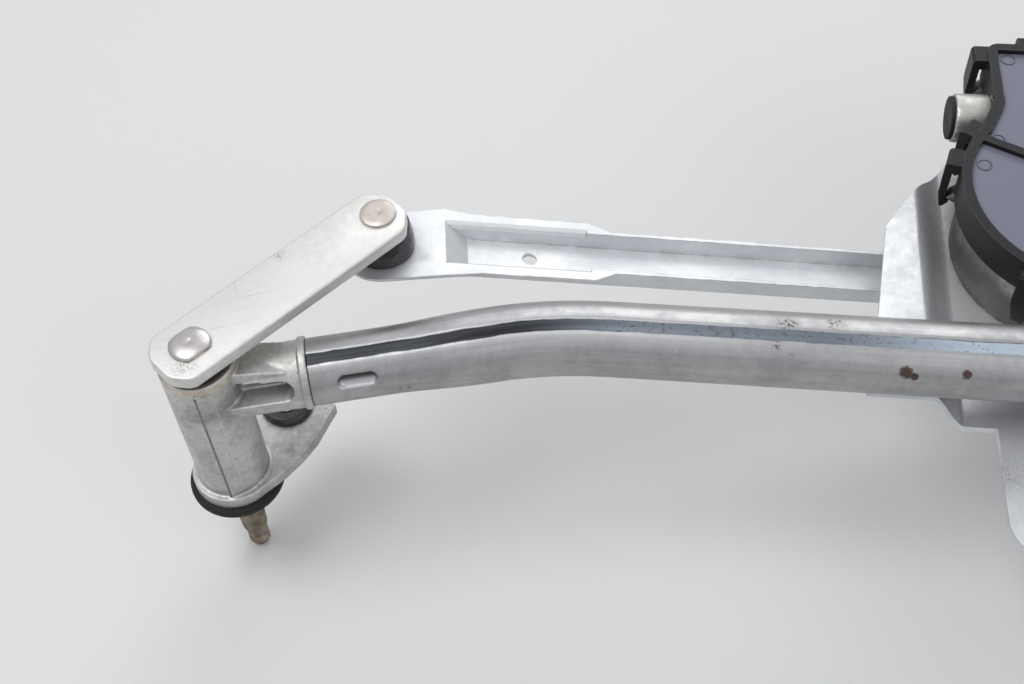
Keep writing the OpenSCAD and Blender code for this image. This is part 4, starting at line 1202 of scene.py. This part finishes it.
@dataclass
class Pivot:
    """Cast pivot with its bushes, seal, grommet and sleeve, in millimetres."""

    side: Side
    spindle: tuple[float, float]
    top: float = 71.5
    keel_foot: float = 6.0
    keel_gap: float = 3.5
    keel_turn: float = 10.0
    keel_section: Outline = ((10.5, -0.9), (13.3, -0.55), (13.6, -0.2), (13.45, 0.4), (11.55, 4.85),
                             (10.5, 4.0))
    line_section: Outline = ((13.0, -0.6), (13.34, -0.6), (13.65, -0.2), (13.55, 0.25), (13.0, 0.2))

    def face(self) -> bmesh.types.BMesh:
        """Draws the machined ring on top of the barrel.

        Returns:
            The ring's mesh.
        """
        z = self.top
        ring = [(8.2, z - 0.3), (12.46, z - 2.8), (12.54, z - 2.75), (12.54, z - 0.8),
                (12.0, z + 0.04), (8.2, z + 0.04)]
        return place(spun(ring + ring[:1], 96), moved(*self.spindle))

    def keel(self, section: Outline) -> bmesh.types.BMesh:
        """Draws a strip that runs down the barrel's parting line.

        Args:
            section: Corners of its section, outwards and round the barrel.

        Returns:
            The strip's mesh.
        """
        mirror = 1 if self.side is Side.LEFT else -1
        outline = [(x, mirror * y) for x, y in section]
        mesh = prism(outline, self.keel_foot, self.top - self.keel_gap)
        turn = math.radians(mirror * self.keel_turn - 90)
        return place(mesh, moved(*self.spindle) @ Matrix.Rotation(turn, 4, "Z"))

    def build(self, shop: Shop) -> None:
        """Makes the pieces of the pivot.

        Args:
            shop: The shop that finishes pieces.
        """
        name, get = self.side.value, shop.palette.get
        shop.cast(f"{name}_pivot_housing", get("die_cast"), Body.FRAME, grain=0.4 * MM, kept=0.35)
        extras = (("barrel_face", self.face(), "machined_face", 35.0),
                  ("barrel_keel", self.keel(self.keel_section), "die_cast", 20.0),
                  # The parting line's strip is dark with painted shade.
                  ("parting_line", self.keel(self.line_section), "parting_soot", 20.0))
        for label, mesh, finish, crease in extras:
            extra = shop.piece(f"{name}_{label}", mesh, get(finish), Body.FRAME, crease=crease)
        shop.softened(f"{name}_bearing_bushes", get("bronze"), Body.FRAME, Round.TURNED)
        shop.softened(f"{name}_seal", get("rubber"), Body.FRAME, Round.MOULDED)
        shop.softened(f"{name}_mount_grommet", get("grommet_rubber"), Body.FRAME, Round.MOULDED)
        shop.softened(f"{name}_mount_sleeve", get("hardware"), Body.FRAME, Round.TURNED)


@dataclass
class Lever:
    """Lever with its staked spindle and riveted ball stud, in millimetres."""

    side: Side
    spindle: tuple[float, float]
    drop: float
    angle: float = math.radians(49.2)
    length: float = 77.0
    width: float = 22.8
    heel: float = 12.5
    nose: float = 8.0
    underside: float = 74.0
    thickness: float = 5.0
    facet_share: float = 0.235
    heel_taper: float = 4.8
    nose_taper: float = 5.8
    corner: float = 2.0
    head_flat: float = 5.4
    teeth: int = 60
    tooth_share: float = 0.965
    thread_pitch: float = 1.25
    thread_turns: int = 8
    thread_end: float = -44.0
    ball_drop: float = 10.5
    ball_radius: float = 6.5
    neck: float = 4.2

    @property
    def body(self) -> Body:
        """The body that the lever is part of."""
        return Body.LEFT_LEVER if self.side is Side.LEFT else Body.RIGHT_LEVER

    @property
    def top(self) -> float:
        """Height of the lever's top face."""
        return self.underside + self.thickness

    def at(self, along: float = 0.0) -> Matrix:
        """Frame on the lever's line, along it from the spindle."""
        return moved(*self.spindle) @ Matrix.Rotation(self.angle, 4, "Z") @ moved(along, 0.0)

    def bar(self) -> bmesh.types.BMesh:
        """Draws the bar with rounded corners and rolled top edges.

        Returns:
            The bar's mesh.
        """
        half, facet, end = self.width / 2, self.facet_share * self.width, self.length + self.nose
        near, far = self.heel_taper - self.heel, end - self.nose_taper
        outline = [(near, -half), (far, -half), (end, -facet), (end, facet), (far, half), (near, half),
                   (-self.heel, facet), (-self.heel, -facet)]
        mesh = prism(outline, self.underside, self.top)
        corners = [e for e in mesh.edges if abs(e.verts[0].co.z - e.verts[1].co.z) > MM]
        round_edges(mesh, corners, self.corner * MM, 5)
        for upward, width, segments in ((1, 0.9, 5), (-1, 0.5, 3)):
            faces = [f for f in mesh.faces if f.normal.z * upward > 0.99]
            round_edges(mesh, [e for f in faces for e in f.edges], width * MM, segments)
        return place(mesh, self.at())

    def head(self) -> bmesh.types.BMesh:
        """Draws the staked head of the spindle, a low dome with two flats.

        Returns:
            The head's mesh.
        """
        z = self.top
        mesh = spun([(0, z - 0.2), (6.7, z - 0.2), (6.85, z + 0.35), (6.7, z + 0.8), (6.0, z + 1.3),
                     (4.6, z + 1.75), (2.6, z + 2.05), (0.9, z + 2.12), (0.5, z + 1.98), (0, z + 1.95)], 72)
        for sign in (-1, 1):
            cut = bmesh.ops.bisect_plane(mesh, geom=mesh.verts[:] + mesh.edges[:] + mesh.faces[:], dist=1e-7,
                                         plane_co=(0, sign * self.head_flat * MM, 0),
                                         plane_no=(0, sign, 0.0), clear_outer=True)
            rim = [e for e in cut["geom_cut"] if isinstance(e, bmesh.types.BMEdge)]
            filled = bmesh.ops.edgenet_fill(mesh, edges=rim)["faces"]
            upper = [e for f in filled for e in f.edges if e.verts[0].co.z > z * MM]
            round_edges(mesh, upper, 0.3 * MM, 3)
        bmesh.ops.recalc_face_normals(mesh, faces=mesh.faces[:])
        return place(mesh, self.at())

    def knurled(self) -> bmesh.types.BMesh:
        """Draws the spindle's knurled cone.

        Returns:
            The cone's mesh.
        """
        cone = [(0, -33), (4.45, -33), (4.6, -32.2), (5.8, -5.6), (5.6, -4.6), (0, -4.6)]
        mesh = spun(cone, 2 * self.teeth)
        for point in mesh.verts:
            column = round(math.atan2(point.co.y, point.co.x) / FULL_TURN * 2 * self.teeth)
            if column % 2 and point.co.xy.length > 4 * MM:
                point.co.xy *= self.tooth_share
        return mesh

    def thread(self) -> bmesh.types.BMesh:
        """Draws the spindle's screw thread as one helical ridge.

        Returns:
            The ridge's mesh.
        """
        pitch, turns, round_steps = self.thread_pitch, self.thread_turns, 36
        mesh = bmesh.new()
        section = [(3.3, -0.62), (3.4, -0.5), (3.93, -0.1), (3.93, 0.1), (3.4, 0.5), (3.3, 0.62)]
        points = [mesh.verts.new((r * MM, 0, (self.thread_end + z + pitch / 2) * MM)) for r, z in section]
        edges = [mesh.edges.new(pair) for pair in zip(points, points[1:])]
        bmesh.ops.spin(mesh, geom=points + edges, cent=(0, 0, 0), axis=(0, 0, 1), angle=FULL_TURN * turns,
                       steps=round_steps * turns, dvec=(0, 0, pitch * MM / round_steps))
        bmesh.ops.holes_fill(mesh, edges=[e for e in mesh.edges if e.is_boundary], sides=0)
        bmesh.ops.recalc_face_normals(mesh, faces=mesh.faces[:])
        return mesh

    def shank(self) -> bmesh.types.BMesh:
        """Draws the spindle from its screw thread to the lever.

        Returns:
            The spindle's mesh, with its cone and thread.
        """
        mesh = spun([(0, -45), (2.7, -45), (3.35, -44.3), (3.35, -33.4), (4.2, -32.9), (5.2, -5.0),
                     (5.6, -3.0), (6.0, -2.6), (6.0, 0.6), (5.3, 0.6), (5.3, 1.8), (6.0, 1.8),
                     (6.0, self.underside), (4.4, self.underside), (4.4, self.top), (0, self.top)])
        join(mesh, self.knurled())
        join(mesh, self.thread())
        return place(mesh, moved(*self.spindle))

    def stud(self) -> bmesh.types.BMesh:
        """Draws the ball stud from its ball to its rivet head.

        Returns:
            The stud's mesh.
        """
        ball_z, neck, z = self.underside - self.ball_drop - self.drop, self.neck, self.top
        leave = math.degrees(math.acos(neck / self.ball_radius))
        profile = arc_points((0, ball_z), self.ball_radius, -90, leave, 20)
        if self.drop:
            profile += [(neck, ball_z + 11), (5.8, ball_z + 11.3), (5.8, self.underside)]
        profile += [(neck, self.underside), (neck, z), (6.0, z), (6.1, z + 0.4), (6.0, z + 0.8),
                    (5.5, z + 1.1), (4.2, z + 1.3), (2.4, z + 1.4), (1.6, z + 1.36), (1.0, z + 1.2),
                    (0.4, z + 1.06), (0, z + 1.04)]
        return place(spun(profile, 48), self.at(self.length))

    def build(self, shop: Shop) -> None:
        """Makes the pieces of the lever.

        Args:
            shop: The shop that finishes pieces.
        """
        name, get, of = self.side.value, shop.palette.get, shop.palette.of
        heel = self.at(-6.5) @ Vector((0, -5.5 * MM, self.top * MM))
        side_scuff = self.at(42.0) @ Vector((0, 9.5 * MM, self.top * MM))
        ball = self.at(self.length) @ Vector((0, 0, self.top * MM))
        pivot = self.at() @ Vector((0, 0, self.top * MM))
        zinc = ScuffedZinc(
            f"{name}_lever_zinc", colour=(0.76, 0.75, 0.73), shade=(0.64, 0.63, 0.615), metallic=0.7,
            rough=(0.36, 0.52), mottle=60.0, grain=900.0, grain_depth=0.00004, worn=(0.86, 0.85, 0.82),
            wear=0.8, shade_and_grime=0.5, turn=self.angle, rolled=0.15, scratch=0.22, smudge=(0.24, 0.22, 0.2),
            patches=((tuple(heel), 0.006), (tuple(side_scuff), 0.0035)))
        rivet = TurnedSteel(
            f"{name}_rivet_steel", colour=(0.6, 0.56, 0.525), shade=(0.5, 0.455, 0.42), metallic=1.0,
            rough=(0.44, 0.6), mottle=220.0, shade_and_grime=0.4, centre=tuple(ball), tint=(0.42, 0.27, 0.21),
            tint_radius=0.003)
        staked = TurnedSteel(
            f"{name}_staked_steel", colour=(0.63, 0.605, 0.59), shade=(0.47, 0.45, 0.44), metallic=0.95,
            rough=(0.24, 0.38), mottle=160.0, shade_and_grime=0.7, centre=tuple(pivot), tint=(0.5, 0.44, 0.4),
            tint_radius=0.004)
        shop.piece(f"{name}_lever_bar", self.bar(), of(zinc), self.body, [f"{name}_lever"], crease=35.0)
        shop.piece(f"{name}_spindle_turned", self.shank(), get("spindle_steel"), self.body,
                   [f"{name}_spindle"], crease=35.0)
        head = shop.piece(f"{name}_staked_head", self.head(), of(staked), self.body, crease=40.0)
        shop.piece(f"{name}_ball_stud_turned", self.stud(), of(rivet), self.body, [f"{name}_ball_stud"],
                   crease=40.0)
        shop.softened(f"{name}_washer", get("rubber"), self.body, Round.TURNED)
        shop.dress(f"{name}_circlip", get("hardware"))


@dataclass
class Link:
    """Pressed link with its sockets and its half of the crank's stud."""

    side: Side
    bearing: float
    patches: tuple[tuple[Point, float], ...] = ()

    @property
    def body(self) -> Body:
        """The body that the link is part of."""
        return Body.LEFT_LINK if self.side is Side.LEFT else Body.RIGHT_LINK

    def build(self, shop: Shop) -> None:
        """Makes the pieces of the link.

        Args:
            shop: The shop that finishes pieces.
        """
        name, get = self.side.value, shop.palette.get
        zinc = ScuffedZinc(
            f"{name}_link_zinc", colour=(0.76, 0.775, 0.795), shade=(0.68, 0.695, 0.72), metallic=0.5,
            rough=(0.36, 0.5), mottle=50.0, grain=900.0, grain_depth=0.00003, worn=(0.36, 0.33, 0.3),
            wear=0.95, shade_and_grime=0.4, turn=self.bearing, rolled=0.35, scratch=0.2, smudge=(0.4, 0.4, 0.41),
            patches=self.patches)
        shop.softened(f"{name}_link", shop.palette.of(zinc), self.body, Round.PRESSED)
        for end in ("lever", "crank"):
            shop.softened(f"{name}_{end}_socket", get("socket_plastic"), self.body, Round.MOULDED)
        shop.dress(f"{name}_crank_ball", get("spindle_steel"))


@dataclass
class Crank:
    """Crank with its nut and pin, on the output shaft."""

    def build(self, shop: Shop) -> None:
        """Makes the pieces of the crank.

        Args:
            shop: The shop that finishes pieces.
        """
        get = shop.palette.get
        shop.softened("crank_arm", get("crank_zinc"), Body.CRANK, Round.PRESSED)
        shop.softened("crank_nut", get("hardware"), Body.CRANK, Round.SHARP)
        shop.softened("crank_pin", get("hardware"), Body.CRANK, Round.TURNED)
        shop.softened("output_shaft", get("hardware"), Body.CRANK, Round.TURNED)
        shop.dress("worm_wheel", get("wheel_plastic"))


@dataclass
class MotorPlate:
    """Pressed plate welded under the tube, with its mount, in millimetres."""

    weld_y: float = 8.3
    weld_z: float = 43.6
    weld_x: tuple[float, float] = (211.5, 344.5)
    weld_length: float = 13.4
    scale_count: int = 12
    scale_size: Point = (1.9, 2.7, 1.5)
    scale_lean: float = math.radians(-18)
    scale_sway: float = 0.25

    def beads(self) -> bmesh.types.BMesh:
        """Draws the weld beads as rows of overlapping scales.

        Returns:
            The beads' mesh.
        """
        mesh = bmesh.new()
        size = Matrix.Diagonal((*(side * MM for side in self.scale_size), 1))
        form = Matrix.Rotation(self.scale_lean, 4, "Y") @ size
        for middle in self.weld_x:
            for i in range(self.scale_count):
                x = middle + self.weld_length * (i / (self.scale_count - 1) - 0.5)
                spot = moved(x, self.weld_y + self.scale_sway * (i % 3 - 1), self.weld_z)
                bmesh.ops.create_uvsphere(mesh, u_segments=16, v_segments=10, radius=1, matrix=spot @ form)
        return mesh

    def build(self, shop: Shop) -> None:
        """Makes the plate, its welds and its mount.

        Args:
            shop: The shop that finishes pieces.
        """
        get = shop.palette.get
        shop.softened("motor_plate", get("zinc_plate"), Body.FRAME, Round.PRESSED)
        shop.piece("tube_weld_beads", self.beads(), get("weld"), Body.FRAME, ["tube_welds"], crease=60.0)
        shop.softened("plate_mount_grommet", get("rubber"), Body.FRAME, Round.MOULDED)
        shop.softened("plate_mount_sleeve", get("hardware"), Body.FRAME, Round.TURNED)
        shop.softened("motor_screws", get("hardware"), Body.FRAME, Round.SHARP)


@dataclass
class GearMotor:
    """Gear housing with cover and motor can, in millimetres."""

    panel_z: float = 66.0
    pin_marks: Outline = (
        (255.6, 135.4), (247.7, 93.3), (241.9, 80.7), (266.0, 60.5), (294.0, 58.5), (304.0, 92.5),
        (272.0, 108.5), (287.0, 132.5), (310.0, 124.5), (250.0, 114.5))

    def ejector_marks(self) -> bmesh.types.BMesh:
        """Draws the low round marks that the mould's pins leave on the cover.

        Returns:
            The marks' mesh.
        """
        mesh, z = bmesh.new(), self.panel_z
        ring = [(0, z - 0.3), (2.75, z - 0.3), (2.75, z + 0.22), (2.5, z + 0.35), (2.2, z + 0.35),
                (2.0, z + 0.12), (0, z + 0.12)]
        for x, y in self.pin_marks:
            join(mesh, place(spun(ring, 40), moved(x, y)))
        return mesh

    def build(self, shop: Shop) -> None:
        """Makes the pieces of the gear motor.

        Args:
            shop: The shop that finishes pieces.
        """
        get = shop.palette.get
        shop.cast("gear_housing", get("gear_cast"), Body.FRAME, grain=0.8 * MM)
        shop.softened("gear_cover", get("cover_plastic"), Body.FRAME, Round.MOULDED)
        marks = shop.piece("cover_pin_marks", self.ejector_marks(), get("cover_plastic"), Body.FRAME,
                           crease=35.0)
        shop.softened("thrust_cap", get("rubber"), Body.FRAME, Round.TURNED)
        shop.dress("output_bush", get("bronze"))
        shop.softened("motor_can", get("can_paint"), Body.FRAME, Round.DRAWN)
        shop.softened("can_screws", get("hardware"), Body.FRAME, Round.SHARP)


@dataclass
class Studio:
    """Pale floor, soft lamps and the camera."""

    eye: Point = (0.12464, -0.27429, 0.42672)
    right: Point = (0.99429, 0.10066, -0.03533)
    up: Point = (-0.0598, 0.80019, 0.59676)
    forward: Point = (-0.08834, 0.59125, -0.80164)
    lens: float = 49.22
    floor_colour: Colour = (0.76, 0.76, 0.755)
    floor_rough: float = 0.85
    sky: Colour = (0.95, 0.97, 1.0)
    dome: tuple[float, float, float, float] = (-0.1, 0.9, 0.21, 0.53)
    backdrop: tuple[float, float, float, float] = (0.05, 0.8, 0.66, 0.82)
    lamps: tuple[tuple[str, Point, float, float], ...] = (
        ("key_lamp", (-0.3, -0.1, 1.05), 0.6, 5.1),
        ("fill_lamp", (0.9, -0.55, 0.75), 0.8, 1.7),
        ("back_lamp", (0.25, 0.95, 0.7), 0.9, 3.6),
    )
    aim: Vector = field(default_factory=lambda: Vector((0.15, 0.03, 0.05)))

    def camera(self) -> None:
        """Sets the camera at the photograph's viewing angle."""
        data = bpy.data.cameras.new("camera")
        data.lens, data.sensor_width, data.sensor_fit = self.lens, 36.0, "HORIZONTAL"
        data.clip_start, data.clip_end = 0.01, 20.0
        made = bpy.data.objects.new("camera", data)
        axes = (Vector(self.right), Vector(self.up), -Vector(self.forward), Vector(self.eye))
        made.matrix_world = Matrix([[axis[i] for axis in axes] for i in range(3)] + [[0, 0, 0, 1]])
        bpy.context.scene.collection.objects.link(made)
        bpy.context.scene.camera = made

    def floor(self, height: float) -> None:
        """Lays the floor.

        Args:
            height: Height of the floor, in metres.
        """
        mesh = bmesh.new()
        bmesh.ops.create_grid(mesh, x_segments=1, y_segments=1, size=6.0,
                              matrix=Matrix.Translation((0.26, 0.0, height)))
        data = bpy.data.meshes.new("floor")
        mesh.to_mesh(data)
        mesh.free()
        made = bpy.data.objects.new("floor", data)
        finish = bpy.data.materials.new("pale_floor")
        finish.use_nodes = True
        shader = finish.node_tree.nodes["Principled BSDF"]
        shader.inputs["Base Color"].default_value = rgba(self.floor_colour)
        shader.inputs["Roughness"].default_value = self.floor_rough
        data.materials.append(finish)
        bpy.context.scene.collection.objects.link(made)
        made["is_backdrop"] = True

    def light(self) -> None:
        """Hangs the lamps and sets the world's soft light, dimmer than the backdrop that is seen."""
        for name, spot, size, power in self.lamps:
            data = bpy.data.lights.new(name, "AREA")
            data.shape, data.size, data.energy = "DISK", size, power
            made = bpy.data.objects.new(name, data)
            back = Vector(spot) - self.aim
            made.matrix_world = Matrix.Translation(spot) @ back.to_track_quat("Z", "Y").to_matrix().to_4x4()
            bpy.context.scene.collection.objects.link(made)
        world = bpy.data.worlds.new("studio")
        world.use_nodes = True
        bpy.context.scene.world = world
        graph = Graph(world.node_tree)
        sky = world.node_tree.nodes["Background"]
        path = graph.add("ShaderNodeLightPath").outputs
        through = graph.math("MAXIMUM", path["Is Glossy Ray"], path["Is Transmission Ray"])
        seen = graph.math("MAXIMUM", path["Is Camera Ray"], through)
        height = graph.part(graph.add("ShaderNodeTexCoord").outputs["Generated"], "Z")
        lit, shown = graph.fit(height, *self.dome), graph.fit(height, *self.backdrop)
        graph.put(sky.inputs["Color"], rgba(self.sky))
        graph.put(sky.inputs["Strength"], graph.blend(seen, lit, shown))

    def build(self, height: float) -> None:
        """Sets up the whole studio.

        Args:
            height: Height of the floor, in metres.
        """
        scene = bpy.context.scene
        scene.view_settings.view_transform = "Standard"
        self.camera()
        self.floor(height)
        self.light()


def main() -> None:
    """Builds the linkage around its frame and sets the scene."""
    logging.basicConfig(level=logging.INFO, format="%(name)s: %(message)s")
    for old in list(bpy.data.objects):
        bpy.data.objects.remove(old)
    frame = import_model()
    cad_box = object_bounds()
    shop = Shop(frame, Palette())
    Studio().build(cad_box[0].z - FLOOR_GAP)
    FrameTube().build(shop)
    ends = ((Side.LEFT, (-14.0, -26.5), 0.0), (Side.RIGHT, (546.0, -26.5), 16.0))
    for side, spindle, drop in ends:
        Pivot(side, spindle).build(shop)
        Lever(side, spindle, drop).build(shop)
    Link(Side.LEFT, math.radians(9.1), (((0.051, 0.028, 0.063), 0.004),)).build(shop)
    Link(Side.RIGHT, math.radians(176.0)).build(shop)
    Crank().build(shop)
    MotorPlate().build(shop)
    GearMotor().build(shop)


if __name__ == "__main__":
    main()
